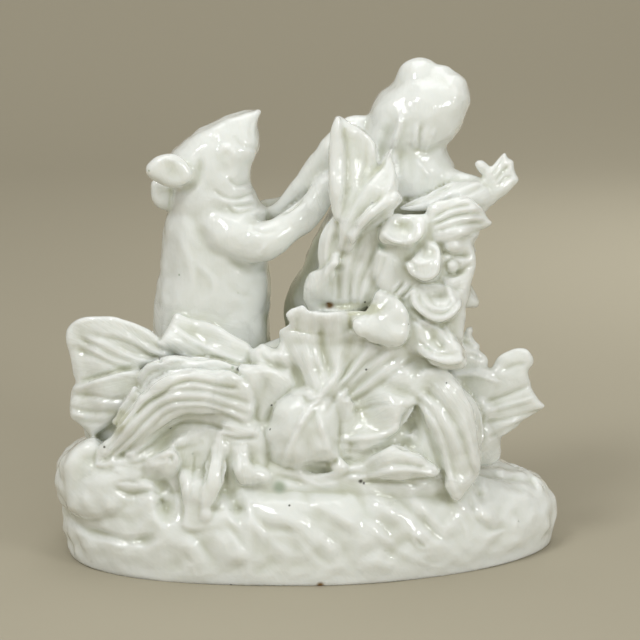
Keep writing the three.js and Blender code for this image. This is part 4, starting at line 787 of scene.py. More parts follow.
# Marks of the modelling tool, each with its width, its height (cut when below zero) and its run,
# all in millimetres as the photograph shows them
toolMarks = {
    "neckWrinkle": (1, -0.75, [(-26, 101.5), (-22.5, 99.5), (-19, 99.5), (-15, 101)]),
    "cheekWrinkle": (1, -0.75, [(-22, 105), (-19.5, 103), (-16, 104)]),
    "throatWrinkle": (1, -0.75, [(-21, 97.5), (-17, 97.5), (-13.5, 98)]),
    "behindEar": (2, -0.88, [(-30, 111), (-30, 107.5), (-31, 104), (-34.5, 101.5), (-38, 101)]),
    "earCup": (2.6, -0.62, [(-40.5, 108.5), (-38, 107), (-35, 106.5)]),
    "farEarCup": (2, -0.38, [(-41, 102), (-40.5, 99)]),
    "eyeSocket": (2.6, -0.56, [(-25.5, 110.5), (-22.5, 107.5), (-19.5, 108.5)]),
    "eyeLid": (1.6, 0.7, [(-24.5, 112), (-23, 113.5), (-21, 112.5), (-20, 110.5)]),
    "mouthLine": (1, -0.4, [(-13, 113.5), (-15.5, 113.5), (-18, 114), (-20, 116)]),
    "snoutFold": (1, -0.4, [(-15, 122), (-16, 119), (-15.5, 116)]),
    "foreheadEdge": (2, 0.4, [(-33, 115.5), (-26.5, 119), (-20, 122.5)]),
    "armTop": (2.2, -0.64, [(-26.5, 97.5), (-21.5, 95.5), (-17, 93.5), (-12.5, 93)]),
    "armShoulder": (3, -0.48, [(-33, 95.5), (-31, 91), (-28.5, 86.5)]),
    "elbowCrease": (2, -0.8, [(-26, 85), (-22, 82.5), (-19, 80), (-14, 78.5), (-10, 80.5)]),
    "elbowFold": (1, 0.5, [(-11.5, 86.5), (-13, 84.5), (-14.5, 82.5)]),
    "innerElbow": (1.1, -0.48, [(-16, 91), (-12.5, 89.5), (-8.5, 90.5)]),
    "bellyWave": (1.6, 0.5, [(-30.5, 80.5), (-28, 78.5), (-26, 76), (-26, 73)]),
    "flankWave": (2.2, 0.5, [(-35.5, 88), (-33, 81.5), (-32, 75)]),
    "chestWave": (1.8, -0.4, [(-22.5, 76.5), (-19.5, 73), (-15.5, 72)]),
    "backWave": (2.6, -0.4, [(-38, 90.5), (-38, 81.5), (-39, 73)]),
    "bellyLow": (2.4, -0.32, [(-31, 69), (-26, 66), (-19.5, 65.5)]),
    "chinRidge": (1.4, 0.8, [(26.5, 122.5), (26, 118.5), (24, 114.5)]),
    "foldFirst": (1, 0.5, [(31, 120.5), (30.5, 117), (30.5, 114)]),
    "foldSecond": (1, 0.5, [(33.5, 119.5), (32.5, 116), (32, 112.5)]),
    "foldThird": (1, 0.5, [(35.5, 118.5), (34, 115.5), (33.5, 112.5)]),
    "foldGroove": (1, -0.48, [(32, 120), (31.5, 116.5), (31.5, 113.5)]),
    "neckCrease": (1.8, -0.88, [(39.5, 115), (36.5, 113.5), (33, 112.5), (29, 114)]),
    "backCrease": (1, 0.7, [(31, 109.5), (33, 107), (34.5, 105)]),
    "backShade": (2.6, -0.48, [(29, 110.5), (28.5, 106), (27, 102)]),
    "underBody": (2, -1.44, [(25.5, 99), (29.5, 98), (34, 99.5), (38, 102), (41.5, 104)]),
    "sleeveFold": (1.2, 0.6, [(35, 97.5), (39.5, 100), (44, 102), (48, 103.5)]),
    "sleeveGroove": (1.1, -0.56, [(37.5, 96.5), (41.5, 98.5), (46, 101), (50, 103)]),
    "brow": (1.6, 0.5, [(39, 133), (41.5, 129.5), (41.5, 125)]),
    "fingerFirst": (0.8, -0.72, [(52, 105.5), (53.5, 108.5), (55, 111)]),
    "fingerSecond": (0.8, -0.72, [(52.5, 104), (55, 107), (56.5, 108.5)]),
    "fingerThird": (0.8, -0.72, [(53.5, 102.5), (55.5, 105), (57.5, 105.5)]),
    "thumbRoot": (0.9, -0.64, [(49.5, 106.5), (51, 107.5)]),
    "leafMiddle": (1.8, -0.54, [(10, 120.5), (11, 116), (11.5, 110), (11, 102), (10, 95)]),
    "leafLeftHalf": (3, 0.5, [(7.5, 116.5), (7.5, 107), (8.5, 97.5)]),
    "leafRecess": (5, -0.38, [(15, 114), (15, 106.5), (13, 99.5)]),
    "leafRightRim": (1.2, 0.6, [(12, 120.5), (15.5, 118.5), (18.5, 114), (19, 109.5)]),
    "leafRightRibs": (1, -0.32, [(16.5, 114.5), (16.5, 108.5), (14.5, 102)]),
    "innerFold": (1.3, -0.53, [(22.5, 110.5), (17.5, 105), (13, 98.5), (10, 92.5)]),
    "innerRidge": (1.5, 0.6, [(24, 111.5), (24, 106), (22, 100), (17.5, 95)]),
    "innerFoldLow": (1.1, -0.38, [(24, 102), (19.5, 98.5), (15.5, 94.5), (12.5, 90)]),
    "underRoll": (1.4, -0.53, [(26, 98), (21.5, 95), (17, 91), (13.5, 86)]),
    "rollLine": (1, -0.4, [(24, 100), (19.5, 98), (15.5, 94.5)]),
    "stemGrooveFirst": (1.1, -0.4, [(8.5, 90), (6.5, 85.5), (6, 80.5), (6.5, 73.5)]),
    "stemGrooveSecond": (1.1, -0.43, [(12, 88.5), (10, 83), (9, 77.5), (9, 70)]),
    "stemGrooveThird": (1.1, -0.43, [(15, 88), (13.5, 82.5), (12, 76.5), (12, 69.5)]),
    "stemGrooveFourth": (1.1, -0.43, [(19, 86.5), (17.5, 81.5), (15, 75.5), (14, 69)]),
    "stemGrooveFifth": (1, -0.36, [(22, 83), (20.5, 78.5), (17.5, 73.5), (16, 69.5)]),
    "stemRidgeFirst": (1.1, 0.22, [(10.5, 89.5), (8.5, 84.5), (7.5, 78.5), (8, 72)]),
    "stemRidgeSecond": (1.1, 0.22, [(13.5, 88.5), (12, 83), (10.5, 77), (10.5, 70)]),
    "stemRidgeThird": (1.1, 0.22, [(17, 88), (15.5, 82), (13.5, 76), (12.5, 69.5)]),
    "stemRidgeFourth": (1, 0.22, [(20.5, 85), (19, 80), (16, 74), (15, 69.5)]),
    "stemFoot": (1.6, -0.84, [(2, 68), (6, 69), (10.5, 69.5), (15, 70)]),
    "sidePetalCurl": (1.1, 0.8, [(5, 77), (6.5, 80.5), (9.5, 81.5)]),
    "sidePetalGroove": (1.2, -0.8, [(6.5, 75.5), (7.5, 78.5), (10.5, 80)]),
    "columnEdge": (1.4, -0.64, [(5.5, 92.5), (4, 87), (4, 81.5)]),
    "darkSpot": (1.6, -1.6, [(21, 85), (23, 85)]),
    "ribFirst": (0.9, -0.8, [(35.5, 94), (40.5, 96.5), (46, 97.5)]),
    "ribSecond": (0.9, -0.88, [(35.5, 92), (41.5, 94.5), (49, 95)]),
    "ribThird": (0.9, -0.8, [(36.5, 90), (43, 92), (49.5, 92.5)]),
    "ribRidgeFirst": (0.9, 0.5, [(35.5, 93), (41, 95.5), (48, 96.5)]),
    "ribRidgeSecond": (0.9, 0.5, [(36, 91), (42.5, 93.5), (50, 93.5)]),
    "beadTop": (1.4, 0.9, [(40.5, 80), (41, 80)]),
    "sideArc": (1, 0.6, [(38.5, 76.5), (40, 72.5), (41.5, 69.5)]),
    "smallRibFirst": (0.8, 0.8, [(23.5, 73.5), (26, 76)]),
    "smallRibSecond": (0.8, 0.8, [(25, 72), (28.5, 75.5)]),
    "smallRibThird": (0.8, 0.8, [(27, 71), (30.5, 74)]),
    "smallGap": (0.7, -0.64, [(24.5, 72.5), (27, 76)]),
    "smallGapSecond": (0.7, -0.64, [(26.5, 71.5), (29.5, 75)]),
    "petalCrease": (1, -0.32, [(20, 72), (17.5, 67.5), (16, 64)]),
    "petalRim": (1, 0.4, [(12.5, 64.5), (15.5, 60.5), (19.5, 58), (24, 57)]),
    "fanGrooveFirst": (1.2, -0.68, [(16.5, 61), (15, 56.5), (12, 52), (8.5, 47)]),
    "fanGrooveSecond": (1.2, -0.68, [(21.5, 57), (17, 53.5), (12.5, 49), (9, 44.5)]),
    "fanGrooveThird": (1.2, -0.62, [(25, 55), (19.5, 51), (14, 46.5), (10, 42.5)]),
    "fanGrooveFourth": (1.3, -0.56, [(30, 54.5), (24, 50), (17, 45), (11, 41.5)]),
    "fanRidgeFirst": (1.1, 0.37, [(19, 58.5), (15.5, 55), (12, 50.5), (8.5, 46)]),
    "fanRidgeSecond": (1.1, 0.37, [(23.5, 56), (18, 52), (13, 48), (9, 43.5)]),
    "fanRecess": (5, -0.78, [(26, 50.5), (21.5, 47), (16.5, 44)]),
    "crossingRidge": (1.7, 1.12, [(10, 53), (7.5, 48.5), (4, 44.5), (1, 40.5), (-1.5, 36.5)]),
    "crossingGroove": (1.1, -0.43, [(12, 51), (9.5, 47), (7.5, 43), (5.5, 39)]),
    "calyxArc": (0.8, -0.64, [(-1.5, 44), (0.5, 42), (3, 43)]),
    "calyxArcLow": (0.8, -0.48, [(-1, 42), (1, 40.5), (3, 41.5)]),
    "lobeGroove": (1.2, -0.8, [(-13.5, 56), (-11, 53.5), (-7.5, 51.5)]),
    "lobeKnobFirst": (1.2, 0.8, [(-14, 56.5), (-13.5, 56.5)]),
    "lobeKnobSecond": (1.2, 0.8, [(-12, 57.5), (-12, 57.5)]),
    "lobeKnobThird": (1.2, 0.7, [(-9, 56.5), (-9, 56)]),
    "bellLeftRidge": (1.5, 1.05, [(-1, 38), (-3, 33.5), (-5, 29), (-6.5, 24.5)]),
    "bellRightRidge": (1.5, 0.9, [(3, 40), (4, 35.5), (5.5, 31), (6.5, 27.5)]),
    "bellValley": (3.2, -0.88, [(1, 35.5), (0.5, 30.5), (-0.5, 25.5)]),
    "bellLeftFacet": (3.4, -0.4, [(-5, 39.5), (-7.5, 34), (-9, 27.5)]),
    "bellHollow": (1.5, -3, [(-0.5, 23), (3, 23), (7, 23)]),
    "bellHollowLip": (1, 0.6, [(-0.5, 20.5), (3.5, 19), (8, 19.5)]),
    "bellFoot": (1.4, -0.96, [(-8, 21.5), (-4, 20.5), (-1, 19.5)]),
    "leafRidge": (1.5, 1.1, [(9, 32), (15, 32), (21, 33), (27, 36)]),
    "leafUpperHollow": (3.6, -0.83, [(11, 35.5), (16.5, 36.5), (22.5, 38.5), (27, 40)]),
    "leafDash": (0.9, 0.6, [(10, 42.5), (12.5, 42), (14.5, 41.5)]),
    "leafContour": (1, -0.48, [(12.5, 39.5), (18, 41), (24, 42)]),
    "leafLowGroove": (1.2, -0.64, [(10.5, 28.5), (15.5, 28), (20.5, 30)]),
    "leafEdge": (1.1, 0.5, [(22, 44.5), (26.5, 43), (30, 41)]),
    "leafHollow": (4.4, -4.2, [(29, 39.5), (29, 36), (28.5, 32)]),
    "leafHollowLow": (2.4, -1.28, [(25, 29.5), (28.5, 31)]),
    "lowLeafRidge": (1.2, 0.9, [(12, 21), (17.5, 21.5), (24.5, 23), (31.5, 23), (37.5, 21)]),
    "lowLeafGroove": (1, -0.64, [(20.5, 24), (26, 25), (33, 23.5)]),
    "lowLeafUnder": (1, -0.64, [(16.5, 20), (24, 19.5), (31.5, 19)]),
    "strapGrooveFirst": (1.3, -0.71, [(33, 46), (39, 40), (43, 33), (45.5, 25), (47.5, 20.5)]),
    "strapGrooveSecond": (1.2, -0.66, [(29.5, 44), (34.5, 39.5), (38.5, 32), (41, 23.5), (42.5, 17.5)]),
    "strapGrooveThird": (1, -0.41, [(37.5, 49), (42.5, 44.5), (45.5, 37.5), (47.5, 29)]),
    "strapGrooveFourth": (1.1, -0.51, [(30, 40), (33.5, 33.5), (36.5, 25.5), (39, 19.5)]),
    "strapRidgeFirst": (1.2, 0.31, [(35, 48), (41, 42), (45, 34), (47, 25)]),
    "strapRidgeSecond": (1.2, 0.31, [(31, 45), (36.5, 40), (41, 32), (44, 21.5)]),
    "cupGrooveFirst": (1, -0.72, [(50, 36.5), (55.5, 37.5), (62, 39), (67, 39.5)]),
    "cupGrooveSecond": (1, -0.72, [(50.5, 42.5), (56.5, 44.5), (62.5, 47)]),
    "cupGrooveThird": (1, -0.64, [(50.5, 32), (55.5, 34.5), (61, 36.5)]),
    "cupRidge": (1.1, 0.6, [(50, 39.5), (56.5, 41.5), (62.5, 43)]),
    "budGroove": (1, -0.72, [(41.5, 60), (44.5, 59), (47, 58)]),
    "budGrooveSecond": (1, -0.72, [(42.5, 55.5), (45.5, 55.5), (49, 54.5)]),
    "budKnobFirst": (1.4, 0.8, [(45, 62), (45, 61.5)]),
    "budKnobSecond": (1.4, 0.7, [(47.5, 57), (48, 57)]),
    "besideStraps": (2, -1.28, [(48, 40), (49, 34.5), (50, 28)]),
    "fanRimTop": (1.2, 0.7, [(-65.5, 64), (-61, 65.5), (-54.5, 65.5), (-49.5, 64), (-44, 61),
        (-40, 57.5)]),
    "fanGrooveUpper": (1.4, -0.68, [(-61, 61.5), (-55, 59.5), (-49.5, 56.5), (-44, 54.5), (-40, 54)]),
    "fanGrooveMiddle": (1.3, -0.56, [(-63.5, 60), (-59, 57.5), (-54.5, 55), (-49, 53.5)]),
    "fanGrooveLower": (1.3, -0.62, [(-65, 57.5), (-61, 55.5), (-55.5, 53), (-51, 51.5), (-47.5, 51)]),
    "fanRidgeUpper": (1.2, 0.31, [(-62.5, 60.5), (-57, 58.5), (-51.5, 55.5), (-45, 53.5)]),
    "fanRidgeLower": (1.2, 0.31, [(-64.5, 59), (-59.5, 56.5), (-54.5, 54), (-49.5, 52.5)]),
    "fanRimGroove": (1, -0.8, [(-55.5, 60.5), (-50, 58.5), (-44.5, 55.5), (-40.5, 53.5)]),
    "fanFold": (1.2, 0.9, [(-65, 46), (-61.5, 47), (-55, 49), (-47.5, 51)]),
    "fanFoldGroove": (1.1, -0.8, [(-64, 48), (-59, 49.5), (-53.5, 51), (-48.5, 52.5)]),
    "fanLowFirst": (1.3, -0.8, [(-66.5, 44), (-61, 44), (-55, 43), (-50, 43.5)]),
    "fanLowSecond": (1.2, -0.8, [(-66.5, 40.5), (-61, 39.5), (-55, 39.5)]),
    "fanLowThird": (1.1, -0.48, [(-66, 38), (-61.5, 36.5), (-57, 36.5)]),
    "fanLeftEdge": (1.2, 0.5, [(-67, 62), (-67, 58), (-66, 51.5), (-65.5, 47)]),
    "underFan": (1.4, -0.96, [(-46, 48.5), (-48.5, 44), (-52, 40)]),
    "pigLeafFold": (1.2, 0.8, [(-38, 63.5), (-33, 60), (-26, 56.5), (-17.5, 53.5)]),
    "pigLeafUpper": (3, -0.56, [(-34.5, 64), (-29, 61.5), (-22, 58.5), (-16.5, 55.5)]),
    "pigLeafLower": (2.4, -0.48, [(-40, 58.5), (-33.5, 55.5), (-26.5, 53)]),
    "smallLeafGroove": (1, -0.8, [(-32, 54.5), (-26.5, 55), (-21, 53.5), (-17, 52)]),
    "smallLeafRidge": (1.1, 0.7, [(-31.5, 52.5), (-26, 53.5), (-20, 51.5)]),
    "underSmallRoll": (1.2, -0.88, [(-46, 45), (-43.5, 48), (-39, 50.5), (-32, 51)]),
    "smallRollLine": (0.8, -0.32, [(-46, 48), (-43.5, 51), (-39, 53), (-34, 53.5)]),
    "topStrapEdge": (1.1, -1.12, [(-48.5, 38), (-45.5, 41.5), (-41.5, 44), (-38, 46.5), (-33, 48),
        (-26.5, 47), (-19.5, 46)]),
    "archGrooveFirst": (1.1, -0.66, [(-57, 28), (-52, 34.5), (-47, 40), (-41, 44), (-34.5, 45.5),
        (-27, 45), (-19.5, 43), (-15.5, 41.5)]),
    "archGrooveSecond": (1.1, -0.66, [(-55.5, 27), (-50, 32), (-45, 37.5), (-40, 41.5), (-34, 42.5),
        (-27, 42), (-20.5, 40), (-16.5, 38.5)]),
    "archGrooveThird": (1.1, -0.61, [(-54.5, 25.5), (-49, 30), (-44, 34.5), (-39, 39), (-33.5, 40.5),
        (-27, 40), (-21.5, 38), (-18, 36)]),
    "archRidgeFirst": (1.1, 0.31, [(-56.5, 27.5), (-51, 33.5), (-46, 38.5), (-40.5, 42.5), (-34, 44),
        (-27, 43.5), (-20, 41.5)]),
    "archRidgeSecond": (1.1, 0.31, [(-55, 26), (-49.5, 31), (-44.5, 36), (-39.5, 40), (-33.5, 41.5),
        (-27, 41), (-21, 39.5)]),
    "crimpFirst": (0.8, -0.64, [(-51, 38.5), (-48.5, 41.5)]),
    "crimpSecond": (0.8, -0.64, [(-52.5, 36.5), (-50.5, 39)]),
    "crimpThird": (0.8, -0.64, [(-49.5, 41.5), (-47.5, 43.5)]),
    "crimpFourth": (0.8, -0.56, [(-54.5, 34.5), (-52, 37)]),
    "underArch": (3.2, -3, [(-43.5, 29), (-40, 32), (-35, 35.5), (-31, 36)]),
    "underArchLip": (1.2, -1.12, [(-48, 27), (-44, 30), (-39.5, 33.5), (-34.5, 36), (-28.5, 36),
        (-21, 34)]),
    "betweenStalks": (1.4, -1.6, [(-27, 28), (-28.5, 23), (-29, 18)]),
    "besideShortStalk": (1.5, -1.44, [(-23, 28), (-23, 23), (-22.5, 18.5)]),
    "stalkLine": (0.8, -0.48, [(-31.5, 27.5), (-32, 22), (-33, 15.5)]),
    "frontStalkLine": (0.9, 0.6, [(-26, 30), (-27.5, 23.5), (-29.5, 17)]),
    "underPetals": (1.6, -1.28, [(-54.5, 18.5), (-50, 16.5), (-45, 17), (-40, 17.5)]),
    "petalFold": (0.8, -0.56, [(-50.5, 25), (-47.5, 25), (-45, 26)]),
    "wavyFold": (0.8, -0.56, [(-53.5, 19.5), (-50.5, 20), (-47.5, 19.5)]),
    "lobeDent": (3, -0.56, [(-63.5, 17.5), (-58, 14)]),
    "lobePit": (2.3, -0.49, [(-64, 3.5), (-63, 3)]),
    "waveFirst": (2.5, -0.77, [(12.5, 18.5), (15, 14.5), (17.5, 10.5)]),
    "waveSecond": (2.4, -0.63, [(7, 9), (13.5, 5.5), (19.5, 2.5), (26, 0.5)]),
    "waveThird": (2.5, -0.54, [(1, 4), (3, 1.5), (5.5, -2)]),
    "rockFirst": (4.3, 0.49, [(-2, 15), (7, 12), (16, 6.5), (25, 2), (34.5, -2)]),
    "rockSecond": (4.3, 0.58, [(15.5, 17), (24, 11.5), (32, 5.5), (40.5, 0.5), (47, -1)]),
    "rockThird": (3.7, 0.41, [(27.5, 16.5), (35, 11), (41.5, 5.5), (48.5, 2)]),
    "rockGrooveFirst": (2.5, -0.54, [(20.5, 17.5), (26.5, 13), (34.5, 7), (42.5, 1.5)]),
    "rockGrooveSecond": (3.1, -0.45, [(-15, 12), (-9, 8), (-5, 2.5), (-1.5, -3)]),
    "rockGrooveThird": (2.8, -0.41, [(-26, 8.5), (-20.5, 5.5), (-15.5, 0.5)]),
    "rockGrooveFourth": (2.5, -0.45, [(37.5, 16.5), (41.5, 12.5), (47, 8.5)]),
    "rockFourth": (4.3, 0.36, [(-12.5, 14), (-6.5, 10), (-1, 5), (4, 0.5)]),
    "rockFifth": (3.7, 0.32, [(-36.5, 2.5), (-30, 1), (-22.5, -2)]),
    "rockFoot": (3.1, -0.32, [(-55, -2), (-44, -4.5), (-33, -4.5)]),
    "rockDip": (3.7, -0.36, [(-30, 4), (-25.5, 0.5), (-21.5, -3.5)]),
    "rockRun": (3.3, 0.32, [(9, 1.5), (17.5, -2.5), (29, -5)]),
    "rightDent": (2, -1.28, [(48.5, 17.5), (49.5, 17)]),
    "rightBump": (4.1, 0.58, [(49, 10.5), (51.5, 9.5)]),
    "rightBumpUnder": (2.3, -0.45, [(47.5, 7), (50.5, 6), (54, 8)]),
    "rightShelf": (1.6, -0.72, [(55.5, 20.5), (61, 20.5), (65.5, 17.5)]),
    "rightShelfRidge": (2, 0.6, [(57.5, 22.5), (63, 21.5), (67.5, 17.5)]),
    "rightFoot": (2.5, -0.27, [(54, -2), (61, 1), (66, 5.5)]),
    "cupMouth": (2.6, -2.24, [(24.5, 92), (26.5, 92), (28, 91)]),
    "cupBack": (1.2, 0.5, [(22.5, 93), (24.5, 95), (27, 95), (30.5, 94.5)]),
    "cupFrontRim": (1.2, 1.1, [(21.5, 89.5), (23, 88), (26, 87), (28.5, 87), (31, 88.5), (32, 90.5)]),
    "cupFrontRoll": (0.9, -0.56, [(21, 88), (24, 86.5), (27, 86.5), (29.5, 87)]),
    "facingMouth": (2.6, -2.55, [(31.5, 85), (33, 84.5), (34, 84)]),
    "facingRim": (1.1, 1, [(28.5, 81.5), (29, 79), (31, 77.5), (33.5, 77), (36, 78.5), (36.5, 81),
        (36.5, 84.5), (35.5, 86.5)]),
    "facingInnerLip": (0.8, 0.7, [(29.5, 82.5), (31, 81), (33, 81), (34.5, 82)]),
    "facingPetalSplit": (0.8, -0.56, [(27.5, 82.5), (29.5, 81), (30.5, 78.5)]),
    "sideStepFirst": (1, -1.04, [(38, 84.5), (40, 83.5), (42.5, 83.5), (45, 84)]),
    "sideStepSecond": (1, -1.04, [(39, 81.5), (41.5, 82.5), (44.5, 83), (46, 83.5)]),
    "sideStepThird": (1, -0.96, [(42.5, 78.5), (44.5, 80), (46, 80.5)]),
    "sideStepFourth": (1, -0.96, [(39, 78), (41.5, 78), (44, 79)]),
    "beadRing": (0.8, -0.8, [(40.5, 82), (42.5, 81), (42.5, 79), (41.5, 78), (40, 78), (39, 79.5),
        (39, 81), (40.5, 82)]),
    "shallowRingOuter": (1, -0.8, [(31, 73), (32, 70), (34.5, 67.5), (38, 67), (40.5, 68.5), (42.5, 71),
        (41, 73.5)]),
    "shallowRingInner": (0.8, -0.56, [(34, 72), (35.5, 70), (37.5, 69), (40, 70), (40.5, 72)]),
    "shallowCentre": (1.8, -0.96, [(36, 72), (38.5, 72)]),
    "shallowLip": (1.1, 0.9, [(29.5, 71.5), (31, 68.5), (34, 66), (37.5, 65.5), (40.5, 67), (43, 70)]),
    "shallowBackRim": (1, 0.6, [(31.5, 74.5), (35, 75), (38.5, 74.5), (41.5, 73)]),
    "shallowUnder": (1, -0.96, [(29, 68.5), (31, 67), (34, 65), (37.5, 63.5), (40, 65)]),
    "hangingMouth": (2.6, -2.56, [(35.5, 59.5), (37.5, 58), (39, 57)]),
    "hangingMouthTop": (2, -1.12, [(34, 63), (35.5, 61)]),
    "hangingLip": (1.3, 1.2, [(30.5, 57.5), (33, 55.5), (35.5, 54.5), (39, 53.5), (42.5, 54),
        (43.5, 55.5)]),
    "hangingLipGroove": (0.8, -0.72, [(31, 59.5), (33.5, 57.5), (36, 56), (39.5, 55.5), (42, 56)]),
    "hangingLowGroove": (0.8, -0.64, [(33, 54.5), (35.5, 53.5), (39, 52.5), (42.5, 52.5)]),
    "hangingSplit": (0.8, -0.64, [(29.5, 65.5), (31.5, 64.5), (33.5, 62)]),
    "hangingFold": (0.9, -0.56, [(37.5, 64), (39, 61.5), (40, 59)]),
    "curlHole": (1.1, -2.6, [(-38, 27), (-38, 26)]),
    "curlRim": (1.2, 0.8, [(-40.5, 27.5), (-38.5, 28), (-37, 27), (-37, 24.5)]),
    "curlFold": (1, -0.56, [(-44.5, 25), (-42.5, 26), (-40, 26)]),
    "curlShade": (1.4, -0.64, [(-44, 20.5), (-41, 19.5), (-38.5, 20.5)]),
    "archPetalFold": (1.1, -0.27, [(-36.5, 29), (-34, 29.5), (-31, 30), (-28.5, 32)]),
    "archPetalRidge": (1, 0.18, [(-35.5, 31), (-33, 32), (-30, 34)]),
    "pebbleFirst": (1.3, 0.9, [(-32, 35.5), (-32, 35.5)]),
    "pebbleSecond": (1.3, 0.8, [(-29, 32), (-28.5, 31.5)]),
    "bandLine": (0.9, -0.72, [(-24, 33), (-20.5, 32), (-17, 32), (-14.5, 32)]),
    "shortStalkRidge": (1.4, 0.8, [(-19, 28), (-19, 25), (-19.5, 21)]),
    "shortStalkShade": (2.2, -1.12, [(-15.5, 28.5), (-15, 25.5), (-12.5, 22.5)]),
    "stalkHollow": (3.6, -5.5, [(-40.5, 17.5), (-40, 14), (-39.5, 10.5)]),
    "stalkHollowRight": (3.4, -5, [(-20.5, 15.5), (-19.5, 13), (-19, 10.5)]),
    "betweenPits": (1.5, -0.36, [(-29.5, 12), (-27, 12.5), (-24, 12.5)]),
    "headPlane": (5, 0.6, [(31.5, 132), (34, 127.5), (34.5, 124)]),
    "headShade": (4, -0.32, [(26.5, 129.5), (25.5, 125.5), (24, 123)]),
    "headTopRidge": (3, 0.4, [(29.5, 138), (31, 134), (33, 130.5)]),
    "neckCord": (1.1, 0.8, [(26, 122.5), (25.5, 119), (24.5, 115.5), (23.5, 112.5)]),
    "neckHollow": (2.6, -1.04, [(23, 121), (22, 117), (21, 113.5), (20.5, 108.5)]),
    "neckHollowRight": (2, -0.64, [(27, 113.5), (26, 109.5), (26, 104)]),
    "throatSpark": (1, 0.4, [(28.5, 115.5), (30, 114), (31.5, 113.5)]),
    "gillFirst": (1, 0.5, [(30.5, 119.5), (30, 116), (29.5, 114)]),
    "gillSecond": (1, 0.5, [(34.5, 120), (33.5, 116.5), (32.5, 114.5)]),
    "gillThird": (1, 0.4, [(36, 119), (35, 116), (34.5, 114.5)]),
    "lobeCrease": (2.1, -1.2, [(-69, 11), (-66.5, 9.5), (-63, 7), (-59, 5.5), (-55, 4.5), (-51.5, 3.5),
        (-47, 3.5), (-44, 4)]),
    "lobeCreaseDeep": (1.8, -0.54, [(-59, 6), (-55.5, 4.5), (-52, 3.5)]),
    "lobeFaceTop": (4, 0.5, [(-67.5, 25), (-63.5, 23), (-59.5, 21), (-55, 18)]),
    "lobeRoughFirst": (2, 0.18, [(-50.5, 12), (-49, 9.5), (-47.5, 8)]),
    "lobeRoughSecond": (1.8, -0.16, [(-53, 14), (-50.5, 13), (-48.5, 14)]),
    "lobeRoughThird": (2, 0.16, [(-47, 12.5), (-45, 10), (-43.5, 8.5)]),
    "lobeRoughFourth": (1.5, -0.18, [(-47, 6), (-44.5, 7), (-42.5, 8)]),
    "lobeRoughFifth": (1.5, 0.16, [(-49, 4.5), (-46, 5)]),
    "lobeDentLow": (5.1, -0.27, [(-65.5, 16.5), (-62, 13), (-58, 10)]),
    "baseRockFirst": (2.3, 0.45, [(-57, 2.5), (-54.5, 3.5), (-52.5, 2)]),
    "baseRockSecond": (2.8, 0.36, [(-60, -0.5), (-57.5, 0.5), (-54.5, -0.5)]),
    "baseRockThird": (2.5, 0.45, [(-49.5, 0.5), (-47.5, 1.5), (-45, 0)]),
    "baseRockFourth": (2, 0.36, [(-44, 1.5), (-41.5, 2.5), (-39.5, 1.5)]),
    "baseRockFifth": (3.1, -0.45, [(-66, 5.5), (-63.5, 2.5), (-62.5, -0.5)]),
    "baseRockSixth": (2.5, 0.41, [(-67.5, 8), (-65.5, 6), (-62.5, 5)]),
    "baseRockSeventh": (2.8, -0.36, [(-53.5, -3), (-49.5, -2.5), (-46, -3.5)]),
    "baseRockEighth": (2.5, -0.41, [(-52.5, 0), (-50.5, 1), (-51.5, 2.5)]),
    "boulderFirst": (3.7, 0.54, [(-36.5, 5.5), (-34, 2.5), (-32, -1.5)]),
    "boulderEdge": (1.7, -0.45, [(-36, 0.5), (-34.5, -0.5), (-33, -3), (-31, -6)]),
    "boulderTop": (1.5, 0.36, [(-35, 8), (-31.5, 7), (-28.5, 7.5), (-25, 8)]),
    "boulderRight": (3.3, 0.45, [(-28.5, 4.5), (-24.5, 2.5), (-22, -0.5)]),
    "boulderSpark": (1, 0.36, [(-33.5, -3), (-32, -4.5), (-31, -7)]),
    "boulderGroove": (2, -0.49, [(-31, 4), (-28.5, 1), (-26.5, -3)]),
    "boulderNotch": (1.8, -0.49, [(-24, 5.5), (-21.5, 2.5), (-20.5, -1.5)]),
    "ledgeFirst": (1.8, 0.45, [(-19.5, 10.5), (-17, 8.5), (-16, 5)]),
    "ledgeFirstCut": (1.7, -0.54, [(-22.5, 9), (-20, 5.5), (-17.5, 1.5)]),
    "ledgeSecond": (2, 0.49, [(-15.5, 8.5), (-13, 5.5), (-12.5, 2)]),
    "stoneOne": (5.6, 0.63, [(-12.5, 12), (-8.5, 10), (-5, 9)]),
    "stoneOneEdge": (1.7, -0.54, [(-15.5, 13), (-13.5, 9.5), (-10.5, 7), (-6.5, 6.5), (-3.5, 5.5)]),
    "stoneTwo": (2, 0.41, [(-11, 4), (-8, 1.5), (-5.5, 0)]),
    "stoneThree": (1.8, -0.45, [(-2.5, 5.5), (0.5, 2), (3.5, -1.5), (6, -3)]),
    "stoneFour": (3.1, 0.41, [(-2, 8.5), (2, 4.5), (6.5, 0.5), (10, -2)]),
    "stoneSix": (2, 0.36, [(8.5, 8.5), (13.5, 5), (20, 2)]),
    "sweepFirst": (2, 0.41, [(2.5, 14), (8, 10.5), (12.5, 7), (18, 4.5)]),
    "sweepSecond": (2.3, 0.45, [(19.5, 14.5), (24, 10.5), (28.5, 6.5), (33, 4)]),
    "sweepThird": (1.8, -0.49, [(26.5, 14.5), (30, 11), (33, 8.5), (35, 5.5)]),
    "sweepThirdRidge": (1.8, 0.41, [(29, 15.5), (33, 12), (36, 8), (39, 5)]),
    "sweepFourth": (1.8, 0.41, [(16.5, 8.5), (21.5, 4), (27, 0), (31.5, -2.5)]),
    "sweepFourthSpark": (1.2, 0.36, [(31, -2), (34.5, -3.5), (38, -4)]),
    "hollowDrop": (2.3, -0.72, [(35.5, 4.5), (38, 3.5)]),
    "hollowRight": (2.5, -0.45, [(39, -2), (42.5, -3)]),
    "ringDrop": (1, 0.48, [(29.5, 5.5), (31, 4.5), (33, 2.5), (33.5, 1.5), (31.5, 1.5), (30, 3.5),
        (29.5, 5.5)]),
